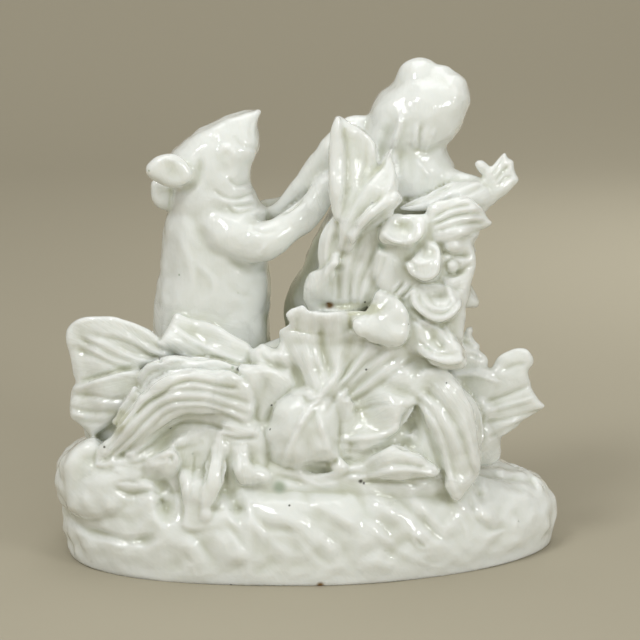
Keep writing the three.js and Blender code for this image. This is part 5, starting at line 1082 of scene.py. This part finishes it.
    "rightTear": (2.3, 0.54, [(47.5, 14), (49, 10.5), (52, 9)]),
    "rightTearCut": (1.5, -0.49, [(45.5, 15), (47, 11), (49.5, 8), (53, 6.5), (55, 8.5)]),
    "rightCup": (2, -1.44, [(48, 18.5), (49, 15)]),
    "rightCupHigh": (2, -1.28, [(52.5, 23.5), (53.5, 21.5)]),
    "rightRidge": (1.4, 0.8, [(49.5, 19), (50, 16.5)]),
    "rightEdgeLine": (1, 0.6, [(57, 25.5), (60, 23.5), (63.5, 21), (66.5, 17.5)]),
    "dripFirst": (1.2, 0.32, [(43.5, 10), (44.5, 7), (45, 4)]),
    "dripSecond": (1.1, 0.27, [(57.5, 10.5), (58.5, 8.5), (58, 6)]),
    "dripThird": (1.1, 0.27, [(52.5, 5.5), (54.5, 6), (56.5, 6.5)]),
    "footLine": (2, -0.27, [(-58, -4.5), (-47, -7), (-33, -8), (-19, -8)]),
    "footLineRight": (2, -0.27, [(26, -7.5), (37.5, -6.5), (48.5, -3.5), (58.5, 1)]),
    "leafHornHollow": (3, -1.02, [(41.5, 48.5), (44, 48.5), (47, 47.5)]),
    "hornRim": (1, 0.7, [(40, 50), (43.5, 50), (47.5, 50), (51.5, 48.5), (54, 47.5)]),
    "cupTopHollow": (2.4, -1.28, [(54, 52.5), (55, 52)]),
    "cupTopRim": (1.1, 0.7, [(52.5, 53), (54.5, 55), (57.5, 56.5), (61, 56.5), (62.5, 55)]),
    "cupTopFold": (1, -0.48, [(55, 51), (58, 52.5), (61.5, 53)]),
    "wristSlit": (1.4, -1.28, [(-6.5, 95.5), (-4.5, 97), (-2, 99)]),
    "mouthBack": (1.6, -0.8, [(1.5, 70), (5, 69.5), (8, 69.5)]),
    "earFold": (1, 0.5, [(-41.5, 109.5), (-39.5, 110.5), (-36.5, 109.5)]),
    "foldDeep": (2.2, -1.7, [(3.5, 64.5), (4, 59.5), (5, 55), (6.5, 50.5)]),
    "foldLeft": (2.2, -1.2, [(-6, 60), (-5, 55.5), (-3.5, 51), (-2, 46.5)]),
    "foldMiddleRidge": (3, 0.6, [(-1, 64.5), (-0.5, 58.5), (0.5, 52), (1.5, 47)]),
    "foldFaintFirst": (1, -0.4, [(1, 57.5), (2, 53.5), (3.5, 50), (4.5, 47)]),
    "foldFaintSecond": (1, -0.35, [(-2, 56.5), (-1, 52.5), (0.5, 48.5), (2, 45)]),
    "foldRight": (2.6, -1, [(12.5, 62), (12, 56.5), (10.5, 52), (8.5, 48.5)]),
    "foldRightRidge": (2, 0.5, [(8, 64.5), (8.5, 59), (8.5, 53.5), (7.5, 49)]),
    "foldRightFaint": (1, -0.35, [(15.5, 60.5), (14, 56.5), (11.5, 52), (9, 48)]),
    "foldEdgeFirst": (1.4, -0.5, [(-3, 68), (-3, 64.5), (-2.5, 61.5)]),
    "foldEdgeSecond": (1.4, -0.5, [(1, 68), (1, 64.5), (1.5, 61)]),
    "foldEdgeThird": (1.2, -0.4, [(7.5, 67.5), (7.5, 64), (7.5, 61)]),
    "foldEdgeFourth": (1.2, -0.4, [(12, 67.5), (12, 64), (12, 61)]),
    "foldLobeFirst": (1.6, -0.5, [(-10, 56), (-7.5, 52.5), (-5, 49)]),
    "waistRippleFirst": (0.7, -0.3, [(-1, 45), (0.5, 44), (2.5, 44.5)]),
    "waistRippleSecond": (0.7, -0.3, [(-1.5, 44), (0.5, 42.5), (3, 43)]),
    "waistRippleThird": (0.7, -0.3, [(-1.5, 42.5), (0.5, 41.5), (2.5, 41.5)]),
    "stemFineFirst": (0.7, -0.3, [(11, 88), (9.5, 82.5), (8.5, 77.5), (8.5, 70.5)]),
    "stemFineSecond": (0.7, -0.3, [(16.5, 86.5), (14.5, 81.5), (12.5, 76), (12, 69.5)]),
    "stemFineThird": (0.7, 0.3, [(20, 84.5), (18, 80), (15.5, 74), (14.5, 69.5)]),
    "columnCutFirst": (0.8, -0.6, [(38.5, 84), (41, 83), (44.5, 83)]),
    "columnCutSecond": (0.8, -0.6, [(38.5, 78), (41, 78), (44.5, 78.5)]),
    "rimFill": (3.2, 1, [(-7, 62), (-2, 61.5), (5, 61), (12, 61.5), (17, 62)]),
    "neckWrinkleLow": (0.9, -0.6, [(-23, 97.5), (-20, 95.5), (-16, 96), (-12.5, 97.5)]),
    "neckRidge": (0.9, 0.4, [(-24, 99), (-20, 98), (-15.5, 99)]),
}


def pointsOf(mesh):
    points = np.empty(len(mesh.vertices) * 3)
    mesh.vertices.foreach_get("co", points)
    normals = np.empty(len(mesh.vertices) * 3)
    mesh.vertex_normals.foreach_get("vector", normals)
    return points.reshape(-1, 3) / mm, normals.reshape(-1, 3)


sight = {"hidden": (1.6, 3.6), "turned": (-0.05, 0.3)}      # millimetres behind, and cosines


def facingViewer(points, normals, cell):
    # 1 where the photograph's camera sees the point, falling to 0 behind what stands before it
    seen, depth = seenFrom(points)
    place = ((seen - seen.min(axis=0)) / cell).astype(int)
    nearest = np.full(place.max(axis=0) + 1, np.inf)
    np.minimum.at(nearest, (place[:, 0], place[:, 1]), depth)
    hidden = depth - nearest[place[:, 0], place[:, 1]]
    toCamera = viewAxes()[0] - points
    toCamera /= np.linalg.norm(toCamera, axis=1)[:, None]
    turned = (normals * toCamera).sum(axis=1)
    shown = (1 - smoothstep(hidden, *sight["hidden"])) * smoothstep(turned, *sight["turned"])
    return seen, toCamera, shown


glazeRipple = {
    "seed": 7,
    "waves": 40,
    "length": (4.0, 12.0),    # millimetres
    "mound": 0.23,            # height on the mound
    "figures": 0.13,          # height on all that stands on it
    "above": (30, 42),        # where the one height turns into the other
    "foot": (0.5, 4),         # the standing edge stays flat
}


def rippled(piece):
    # the soft unevenness of a surface worked by hand under a thick glaze
    points, normals = pointsOf(piece.data)
    settings = glazeRipple
    chance = np.random.default_rng(settings["seed"])
    push = np.zeros(len(points))
    for _ in range(settings["waves"]):
        run = chance.normal(size=3)
        run /= np.linalg.norm(run)
        length = chance.uniform(*settings["length"])
        push += np.sin(2 * np.pi * (points @ run / length + chance.uniform()))
    push *= np.sqrt(2 / settings["waves"])
    low = 1 - smoothstep(points[:, 2], *settings["above"])
    rest = smoothstep(points[:, 2], *settings["foot"])
    reach = rest * (settings["figures"] + (settings["mound"] - settings["figures"]) * low)
    points += normals * (push * reach)[:, None]
    piece.data.vertices.foreach_set("co", (points * mm).ravel())
    piece.data.update()
    print("surface rippled:", settings["waves"], "waves")


def smoothRun(run):
    # a mark's run as a smooth line
    run = np.asarray(run, float)
    if len(run) < 3:
        return run
    return splineThrough(run, np.linspace(0, 1, 4 * (len(run) - 1) + 1))[0]


def pressed(piece, voxel):
    # cuts and raises the marks on the side that the photograph shows
    points, normals = pointsOf(piece.data)
    seen, toCamera, shown = facingViewer(points, normals, 1.3 * voxel)
    direction = normals + toCamera
    direction /= np.linalg.norm(direction, axis=1)[:, None]
    push = np.zeros(len(points))
    for width, height, run in toolMarks.values():
        line = smoothRun(run)
        low, high = line.min(axis=0) - width, line.max(axis=0) + width
        near = np.nonzero(((seen > low) & (seen < high)).all(axis=1) & (shown > 0))[0]
        if len(near) == 0:
            continue
        distance, _, share = toLine(seen[near], line)
        profile = (1 - np.minimum(distance / width, 1) ** 2) ** 2
        length = np.linalg.norm(np.diff(line, axis=0), axis=1).sum()
        ends = np.minimum(np.minimum(share, 1 - share) * length / (2 * width) + 0.35, 1)
        push[near] += height * profile * ends * shown[near]
    points += direction * push[:, None]
    piece.data.vertices.foreach_set("co", (points * mm).ravel())
    piece.data.update()
    print("marks pressed:", len(toolMarks))


# From forms to one fired piece

porcelainSkin = {
    "figureVoxel": 0.8,       # millimetres
    "figureSoftening": 8,     # passes that fillet the animals' joins
    "voxel": 0.45,
    "quickVoxel": 0.6,
    "softening": 3,           # passes that round every edge, as the glaze does
    "mostTriangles": 190000,
}


def meshFrom(name, forms):
    points, quads, triangles = [], [], []
    start = 0
    for formPoints, formQuads, formTriangles in forms:
        points.append(formPoints)
        quads.append(formQuads + start)
        triangles.append(formTriangles + start)
        start += len(formPoints)
    quads, triangles = np.vstack(quads), np.vstack(triangles)
    mesh = bpy.data.meshes.new(name)
    mesh.vertices.add(start)
    mesh.vertices.foreach_set("co", (np.vstack(points) * mm).ravel())
    mesh.loops.add(quads.size + triangles.size)
    mesh.loops.foreach_set("vertex_index", np.concatenate([quads.ravel(), triangles.ravel()]))
    mesh.polygons.add(len(quads) + len(triangles))
    starts = np.concatenate([np.arange(len(quads)) * 4, quads.size + np.arange(len(triangles)) * 3])
    mesh.polygons.foreach_set("loop_start", starts)
    mesh.update(calc_edges=True)
    piece = bpy.data.objects.new(name, mesh)
    bpy.context.collection.objects.link(piece)
    return piece


def applyTo(piece, kind, **settings):
    # adds one modifier and makes its result the mesh
    modifier = piece.modifiers.new(kind.title(), kind)
    for key, value in settings.items():
        setattr(modifier, key, value)
    seen = piece.evaluated_get(bpy.context.evaluated_depsgraph_get())
    mesh = bpy.data.meshes.new_from_object(seen)
    piece.modifiers.clear()
    old = piece.data
    piece.data = mesh
    bpy.data.meshes.remove(old)


def joinedOf(name, objects):
    meshes = []
    for each in objects:
        points = np.empty(len(each.data.vertices) * 3)
        each.data.vertices.foreach_get("co", points)
        each.data.calc_loop_triangles()
        corners = np.empty(len(each.data.loop_triangles) * 3, int)
        each.data.loop_triangles.foreach_get("vertices", corners)
        meshes.append((points.reshape(-1, 3) / mm, np.empty((0, 4), int), corners.reshape(-1, 3)))
        bpy.data.objects.remove(each)
    return meshFrom(name, meshes)


def firedPiece():
    settings = porcelainSkin
    figures = meshFrom("figures", pig() + frog())
    applyTo(figures, "REMESH", mode="VOXEL", voxel_size=settings["figureVoxel"] * mm)
    applyTo(figures, "SMOOTH", factor=0.5, iterations=settings["figureSoftening"])
    print("animals joined:", len(figures.data.vertices), "points")
    plants = mound() + bank() + pigTrim() + platesOf(frogPlates)
    for group in (tallSpray, flowers, middleForms, rightForms, leftForms, archForms, moundForms):
        plants += platesOf(group)
    plants = meshFrom("plants", plants + [knob(**lobe)])
    piece = joinedOf("porcelainGroup", [figures, plants])
    voxel = settings["voxel"]
    applyTo(piece, "REMESH", mode="VOXEL", voxel_size=voxel * mm)
    applyTo(piece, "SMOOTH", factor=0.5, iterations=settings["softening"])
    print("forms joined:", len(piece.data.vertices), "points")
    rippled(piece)
    pressed(piece, voxel)
    applyTo(piece, "SMOOTH", factor=0.5, iterations=1)
    return piece


def lightened(piece):
    triangles = 2 * len(piece.data.polygons)
    ratio = min(1, porcelainSkin["mostTriangles"] / triangles)
    applyTo(piece, "DECIMATE", ratio=ratio)
    for polygon in piece.data.polygons:
        polygon.use_smooth = True
    print("lightened:", len(piece.data.polygons), "faces")


# Materials

# painted light in these colours: the lighter ridge colour is a faint painted highlight, and the darker
# olive colours are painted shade in the hollows, mixed with glaze that pools there
glaze = {
    "ridge": (0.78, 0.80, 0.765, 1),
    "white": (0.75, 0.77, 0.72, 1),
    "shade": (0.71, 0.73, 0.66, 1),
    "poolShade": (0.61, 0.625, 0.50, 1),
    "stops": (0.2, 0.42, 0.62),        # of ridge, white and shade between the two depths
    "depths": (-0.6, 1.25),   # millimetres, of a ridge and of a pool
    "reach": 26,              # passes of averaging that tell a hollow from a ridge
    "mottle": 260.0,          # per metre
    "mottleDepth": 0.22,      # millimetres
    "roughness": (0.05, 0.14),
    "coat": 0.4,
    "coatRoughness": 0.03,
    "glow": 0.8,              # how much light passes through the white body
    "glowReach": (0.0042, 0.004, 0.0038),
    "brush": 1.5,             # lines per millimetre across, and their share of that along
    "brushStretch": 0.12,
    "brushHeight": 0.7,
    "wave": 330.0,            # per metre
    "waveHeight": 0.7,
    "pit": 1400.0,
    "pitHeight": 0.06,
    "bumpStrength": 0.55,
    "bumpDistance": 0.0006,
}

# Where the modelling brush ran, in millimetres as the photograph shows it: the middle of each area
# (x, z), the point that its strokes run to (x, z), its reach against its neighbours', and how
# strongly the strokes show
brushAreas = {
    "pigBody": (-26, 81.5, -26, -42.5, 1.2, 0.35),
    "pigHead": (-24, 113.5, -2, 36.5, 1.0, 0.3),
    "pigArm": (-16, 91, -69, 62, 0.8, 0.3),
    "frogHead": (33, 127.5, 20.5, 62, 1.1, 0.3),
    "frogNeck": (33, 109, 31.5, 36.5, 0.8, 0.3),
    "tallLeaf": (12.5, 110.5, 9, 82, 0.9, 0.8),
    "innerLeaf": (20.5, 102, 7, 81.5, 0.9, 0.8),
    "stems": (13.5, 79, 8, 42.5, 0.9, 0.9),
    "cupArea": (26.5, 90, 26.5, 70.5, 0.7, 0.4),
    "facingArea": (33, 81.5, 33, 65, 0.7, 0.4),
    "ribbedPetal": (45, 97, 20.5, 86.5, 0.9, 0.9),
    "columnArea": (43, 81.5, 26, 70.5, 0.8, 0.6),
    "shallowArea": (36, 70, 36, 42.5, 0.8, 0.45),
    "hangingArea": (37.5, 58, 26, 76.5, 0.8, 0.5),
    "smoothPetal": (21, 63.5, 12, 73.5, 0.7, 0.25),
    "ruffledArea": (0.5, 56, 5.5, 39, 1.1, 1),
    "fanArea": (22, 49.5, 4, 39, 1.0, 1),
    "bellArea": (-2, 32.5, -0.5, 44.5, 1.0, 0.6),
    "leafCArea": (20.5, 34, 3, 30, 0.9, 0.8),
    "leafDArea": (26, 22.5, 6.5, 21, 0.8, 0.8),
    "strapArea": (41.5, 34, 24, 65, 1.1, 1),
    "cupLeafArea": (57.5, 42.5, 37.5, 35.5, 1.0, 0.9),
    "hornTop": (57.5, 52.5, 45.5, 42.5, 0.8, 0.6),
    "fanUpperArea": (-54.5, 58, -35.5, 49, 1.1, 0.9),
    "fanLowerArea": (-56.5, 42.5, -37, 50.5, 1.0, 0.9),
    "pigLeafArea": (-30, 58, -55, 70.5, 0.9, 0.8),
    "archLeft": (-49.5, 35.5, -69, 8.5, 0.9, 0.9),
    "archTop": (-33, 44, -103, 31, 0.9, 0.9),
    "archRight": (-20, 42.5, 6.5, 25.5, 0.8, 0.8),
    "stalkArea": (-28.5, 24, -24, 70.5, 0.9, 0.7),
    "petalArea": (-44, 23, -30, 36.5, 0.8, 0.5),
    "lobeArea": (-56.5, 17, -80.5, 36.5, 1.2, 0.3),
    "moundLeft": (-35.5, 0, -75, 22.5, 1.2, 0.2),
    "moundMiddle": (6.5, 4, -47, 42.5, 1.3, 0.25),
    "moundRight": (34.5, 5.5, -2, 42.5, 1.2, 0.25),
    "moundEnd": (59.5, 14, 34.5, 36.5, 1.2, 0.3),
}

# Painted shade: olive darkening laid into the colour where shade falls, behind and between the parts:
# place and reach on the middle plane as the camera sees it, and how far back
paintedShadePools = {
    "betweenFigures": {"place": (-2, 77), "reach": (13, 24), "behind": (-3, 5), "amount": 2.4},
    "pigHip": {"place": (-16, 61), "reach": (16, 10), "behind": (-8, 1), "amount": 1.5},
    "aboveCup": {"place": (27, 96), "reach": (11, 5), "behind": (-14, -4), "amount": 1.5},
    "belowThroat": {"place": (15, 68.3), "reach": (9, 2.4), "behind": (-31, -30), "amount": 1.4},
    "leftNotch": {"place": (-53, 37), "reach": (5, 5), "behind": (-31, -30), "amount": 1.4},
}

# Specks fired into the glaze: place as the photograph shows it, radius in millimetres, and tone
specks = {
    "throat": (6.2, 69.6, 1.1, "brown"),
    "throatCore": (6.2, 69.7, 0.6, "brown"),
    "footChip": (4.5, -9.8, 1.0, "brown"),
    "footChipSecond": (3.2, -10.1, 0.6, "brown"),
    "stem": (16.5, 70.5, 0.28, "dark"),
    "flute": (16.5, 51.2, 0.32, "dark"),
    "arch": (-19.3, 51.5, 0.7, "dark"),
    "archSecond": (-20.7, 51.9, 0.5, "green"),
    "rim": (-41.5, 54.3, 0.32, "dark"),
    "petal": (28.3, 63.7, 0.25, "dark"),
    "strap": (-56.6, 29.6, 0.36, "dark"),
    "crevice": (-10.1, 41.5, 0.32, "dark"),
    "creviceSecond": (-10.4, 34.7, 0.32, "dark"),
    "underLeaf": (15.1, 20, 0.6, "dark"),
    "underLeafSecond": (16, 19.4, 0.4, "dark"),
    "greenPool": (-7.8, 18.3, 1.8, "green"),
    "hollowDot": (-38.2, 34.9, 0.32, "dark"),
    "foot": (-21, -10.9, 0.4, "dark"),
    "stone": (-4.8, 13.5, 0.32, "dark"),
    "neckPoolFirst": (20.7, 86, 1.2, "green"),
    "leafDot": (38.9, 47.8, 0.22, "dark"),
    "belly": (-35.3, 77.8, 0.3, "green"),
    "ear": (-44, 107, 0.3, "green"),
}
speckTones = {
    "brown": (0.23, 0.13, 0.04, 1),
    "dark": (0.10, 0.10, 0.085, 1),
    "green": (0.42, 0.48, 0.38, 1),
}


def hollowness(points, normals, edges, passes):
    # above 0 in a hollow and below 0 on a ridge, in millimetres
    ends = np.concatenate([edges[:, 0], edges[:, 1]])
    others = np.concatenate([edges[:, 1], edges[:, 0]])
    count = np.maximum(np.bincount(ends, minlength=len(points)), 1)
    soft = points.copy()
    for _ in range(passes):
        soft = np.stack([np.bincount(ends, soft[others, k], len(points)) for k in range(3)], axis=1)
        soft /= count[:, None]
    return ((soft - points) * normals).sum(axis=1)


def brushLines(seen):
    # the run of the brush strokes at each point: across them, along them, and how much they show
    areas = np.array([area[:5] for area in brushAreas.values()], float)
    away = np.sqrt(((seen[:, None, :] - areas[None, :, :2]) ** 2).sum(axis=2)) / areas[None, :, 4]
    order = np.argsort(away, axis=1)
    rows = np.arange(len(seen))
    first, second = away[rows, order[:, 0]], away[rows, order[:, 1]]
    apex = areas[order[:, 0], 2:4]
    strength = np.array([area[5] for area in brushAreas.values()])[order[:, 0]]
    gap = seen - apex
    radius = np.sqrt((gap ** 2).sum(axis=1))
    usual = np.sqrt(((areas[:, :2] - areas[:, 2:4]) ** 2).sum(axis=1))[order[:, 0]]
    turn = np.arctan2(gap[:, 1], gap[:, 0]) * usual
    return turn, radius, strength * smoothstep(second - first, 0.02, 0.45)


def addField(mesh, name, values):
    field = mesh.attributes.new(name, "FLOAT", "POINT")
    field.data.foreach_set("value", np.ascontiguousarray(values, np.float32))


def surfaceFields(piece):
    mesh = piece.data
    points, normals = pointsOf(mesh)
    edges = np.empty(len(mesh.edges) * 2, int)
    mesh.edges.foreach_get("vertices", edges)
    hollow = hollowness(points, normals, edges.reshape(-1, 2), glaze["reach"])
    seen, _, shown = facingViewer(points, normals, 1.0)
    # painted shade: each patch pushes the colour towards the dark olive end, behind and between the
    # parts where shade falls
    for shadePatch in paintedShadePools.values():
        gap = np.hypot(*((seen - shadePatch["place"]) / shadePatch["reach"]).T)
        behind = smoothstep(points[:, 1], *shadePatch["behind"])
        hollow += shadePatch["amount"] * behind * (1 - smoothstep(gap, 0.45, 1.0))
    addField(mesh, "hollow", hollow)
    across, run, strength = brushLines(seen)
    addField(mesh, "strokeAcross", across)
    addField(mesh, "strokeRun", run)
    addField(mesh, "brushed", strength)
    visible = np.nonzero(shown > 0.3)[0]
    places = {}
    for name, (x, z, size, tone) in specks.items():
        gap = ((seen[visible] - (x, z)) ** 2).sum(axis=1)
        places[name] = (points[visible[gap.argmin()]] * mm, size * mm, tone)
    print("surface fields written")
    return places


def node(tree, kind, **settings):
    made = tree.nodes.new(kind)
    for key, value in settings.items():
        setattr(made, key, value)
    return made


def stop(ramp, place, colour):
    element = ramp.color_ramp.elements.new(place)
    element.color = colour


def speckMask(tree, coordinates, places, tone):
    # soft round spots of one tone, as a single mask
    mask = None
    for place, size, which in places.values():
        if which != tone:
            continue
        gap = node(tree, "ShaderNodeVectorMath", operation="DISTANCE")
        gap.inputs[1].default_value = tuple(place)
        tree.links.new(coordinates, gap.inputs[0])
        spot = node(tree, "ShaderNodeMapRange", interpolation_type="SMOOTHSTEP")
        spot.inputs["From Min"].default_value = size * 1.5
        spot.inputs["From Max"].default_value = size * 0.3
        tree.links.new(gap.outputs["Value"], spot.inputs["Value"])
        if mask is None:
            mask = spot.outputs["Result"]
            continue
        both = node(tree, "ShaderNodeMath", operation="MAXIMUM")
        tree.links.new(mask, both.inputs[0])
        tree.links.new(spot.outputs["Result"], both.inputs[1])
        mask = both.outputs["Value"]
    return mask


def noiseOf(tree, coordinates, scale, detail):
    noise = node(tree, "ShaderNodeTexNoise")
    noise.inputs["Scale"].default_value = scale
    noise.inputs["Detail"].default_value = detail
    tree.links.new(coordinates, noise.inputs["Vector"])
    return noise.outputs["Fac"]


def scaled(tree, value, factor):
    product = node(tree, "ShaderNodeMath", operation="MULTIPLY")
    tree.links.new(value, product.inputs[0])
    product.inputs[1].default_value = factor
    return product.outputs["Value"]


def total(tree, values):
    result = values[0]
    for value in values[1:]:
        add = node(tree, "ShaderNodeMath", operation="ADD")
        tree.links.new(result, add.inputs[0])
        tree.links.new(value, add.inputs[1])
        result = add.outputs["Value"]
    return result


def glazedPorcelain(places):
    material = bpy.data.materials.new("whitePorcelain")
    material.use_nodes = True
    tree = material.node_tree
    shader = tree.nodes["Principled BSDF"]
    coordinates = node(tree, "ShaderNodeTexCoord").outputs["Object"]
    fields = {name: node(tree, "ShaderNodeAttribute", attribute_name=name).outputs["Fac"]
              for name in ("hollow", "strokeAcross", "strokeRun", "brushed")}
    mottle = noiseOf(tree, coordinates, glaze["mottle"], 3)

    # lighter on the ridges and darker, olive, in the hollows: glaze that pools in the hollows, with
    # painted shade in the creases and a faint painted highlight on the ridges
    depth = node(tree, "ShaderNodeMapRange")
    depth.inputs["From Min"].default_value = glaze["depths"][0]
    depth.inputs["From Max"].default_value = glaze["depths"][1]
    poolAndShade = total(tree, [fields["hollow"], scaled(tree, mottle, glaze["mottleDepth"])])
    tree.links.new(poolAndShade, depth.inputs["Value"])
    ramp = node(tree, "ShaderNodeValToRGB")
    ramp.color_ramp.elements[0].color = glaze["ridge"]
    ramp.color_ramp.elements[0].position = glaze["stops"][0]
    ramp.color_ramp.elements[1].color = glaze["poolShade"]
    stop(ramp, glaze["stops"][1], glaze["white"])
    stop(ramp, glaze["stops"][2], glaze["shade"])
    tree.links.new(depth.outputs["Result"], ramp.inputs["Fac"])
    colour = ramp.outputs["Color"]
    for tone, value in speckTones.items():
        mix = node(tree, "ShaderNodeMix", data_type="RGBA")
        tree.links.new(speckMask(tree, coordinates, places, tone), mix.inputs["Factor"])
        tree.links.new(colour, mix.inputs[6])
        mix.inputs[7].default_value = value
        colour = mix.outputs[2]
    tree.links.new(colour, shader.inputs["Base Color"])

    # a glaze that shines unevenly
    gloss = node(tree, "ShaderNodeMapRange")
    gloss.inputs["To Min"].default_value = glaze["roughness"][0]
    gloss.inputs["To Max"].default_value = glaze["roughness"][1]
    tree.links.new(noiseOf(tree, coordinates, glaze["wave"], 2), gloss.inputs["Value"])
    tree.links.new(gloss.outputs["Result"], shader.inputs["Roughness"])

    # the brush's fine lines, the slow waves of the glaze and its pinholes
    lines = node(tree, "ShaderNodeCombineXYZ")
    tree.links.new(scaled(tree, fields["strokeAcross"], glaze["brush"]), lines.inputs["X"])
    alongBrush = glaze["brushStretch"] * glaze["brush"]
    tree.links.new(scaled(tree, fields["strokeRun"], alongBrush), lines.inputs["Y"])
    strokes = node(tree, "ShaderNodeMath", operation="MULTIPLY")
    tree.links.new(noiseOf(tree, lines.outputs["Vector"], 1.0, 2), strokes.inputs[0])
    tree.links.new(fields["brushed"], strokes.inputs[1])
    height = total(tree, [
        scaled(tree, strokes.outputs["Value"], glaze["brushHeight"]),
        scaled(tree, noiseOf(tree, coordinates, glaze["wave"], 1), glaze["waveHeight"]),
        scaled(tree, noiseOf(tree, coordinates, glaze["pit"], 1), glaze["pitHeight"]),
    ])
    bump = node(tree, "ShaderNodeBump")
    bump.inputs["Strength"].default_value = glaze["bumpStrength"]
    bump.inputs["Distance"].default_value = glaze["bumpDistance"]
    tree.links.new(height, bump.inputs["Height"])
    tree.links.new(bump.outputs["Normal"], shader.inputs["Normal"])
    shader.inputs["Subsurface Weight"].default_value = glaze["glow"]
    shader.inputs["Subsurface Radius"].default_value = glaze["glowReach"]
    shader.inputs["Subsurface Scale"].default_value = 1.0
    shader.inputs["Coat Weight"].default_value = glaze["coat"]
    shader.inputs["Coat Roughness"].default_value = glaze["coatRoughness"]
    return material


# The room

room = {
    "floor": (0.40, 0.365, 0.275, 1),
    "floorRoughness": 0.9,
    "front": -2.0,            # metres
    "behind": 0.6,
    "radius": 0.5,            # of the sweep from floor to wall
    "sweepSteps": 24,
    "halfWidth": 2.0,
    "height": 1.6,
    "sky": (1, 0.97, 0.91, 1),
    "skyStrength": 0.48,
    "lampColour": (0.97, 0.985, 1),
}


def backdrop():
    steps, back, radius = room["sweepSteps"], room["behind"], room["radius"]
    outline = [(room["front"], 0.0), (back, 0.0)]
    for k in range(1, steps + 1):
        turn = 0.5 * math.pi * k / steps
        outline.append((back + radius * math.sin(turn), radius * (1 - math.cos(turn))))
    outline.append((back + radius, room["height"]))
    points = [(side * room["halfWidth"], y, z) for y, z in outline for side in (-1, 1)]
    faces = [(2 * k, 2 * k + 1, 2 * k + 3, 2 * k + 2) for k in range(len(outline) - 1)]
    mesh = bpy.data.meshes.new("backdrop")
    mesh.from_pydata(points, [], faces)
    for polygon in mesh.polygons:
        polygon.use_smooth = True
    sweep = bpy.data.objects.new("backdrop", mesh)
    bpy.context.collection.objects.link(sweep)
    material = bpy.data.materials.new("paperSweep")
    material.use_nodes = True
    shader = material.node_tree.nodes["Principled BSDF"]
    shader.inputs["Base Color"].default_value = room["floor"]
    shader.inputs["Roughness"].default_value = room["floorRoughness"]
    mesh.materials.append(material)


# Each lamp's place, the point it is aimed at, its side in metres, watts and spread in degrees
lamps = {
    "key": {"place": (-0.45, -0.55, 1.0), "size": 0.28, "power": 4.1},
    "side": {"place": (0.75, -0.75, 0.55), "size": 0.3, "power": 3.1},
    "top": {"place": (0.0, 0.25, 1.2), "size": 0.8, "power": 3.0},
    "front": {"place": (0.15, -1.1, 0.5), "size": 0.9, "power": 2.7, "shines": False},
    "wash": {"place": (0.22, 0.38, 0.45), "aim": (0.22, 0.38, 0), "size": 0.3, "power": 0.2,
             "spread": 70, "shines": False},
}


def lightRoom():
    for name, lamp in lamps.items():
        data = bpy.data.lights.new(name, "AREA")
        data.shape = "SQUARE"
        data.size = lamp["size"]
        data.energy = lamp["power"]
        light = bpy.data.objects.new(name, data)
        light.location = lamp["place"]
        light.visible_glossy = lamp.get("shines", True)
        data.spread = math.radians(lamp.get("spread", 180))
        data.color = room["lampColour"]
        ahead = Vector(lamp.get("aim", (0, 0, 0.06))) - light.location
        light.rotation_euler = ahead.to_track_quat("-Z", "Y").to_euler()
        bpy.context.collection.objects.link(light)
    world = bpy.data.worlds.new("softRoom")
    world.use_nodes = True
    background = world.node_tree.nodes["Background"]
    background.inputs["Color"].default_value = room["sky"]
    background.inputs["Strength"].default_value = room["skyStrength"]
    bpy.context.scene.world = world


def placeCamera():
    data = bpy.data.cameras.new("camera")
    data.sensor_width = viewpoint["sensor"]
    data.lens = viewpoint["lens"]
    data.clip_start = 0.01
    data.clip_end = 20
    camera = bpy.data.objects.new("camera", data)
    place, ahead, up = viewAxes()
    camera.location = Vector(place * mm)
    camera.rotation_euler = Vector(ahead).to_track_quat("-Z", "Y").to_euler()
    bpy.context.collection.objects.link(camera)
    bpy.context.scene.camera = camera


placeCamera()
piece = firedPiece()
lightened(piece)
piece.data.materials.append(glazedPorcelain(surfaceFields(piece)))
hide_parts("porcelain_group")
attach(piece, "root")
print("piece finished")

backdrop()
lightRoom()
print("room lit:", len(lamps), "lamps")
bpy.context.scene.view_settings.view_transform = "Standard"
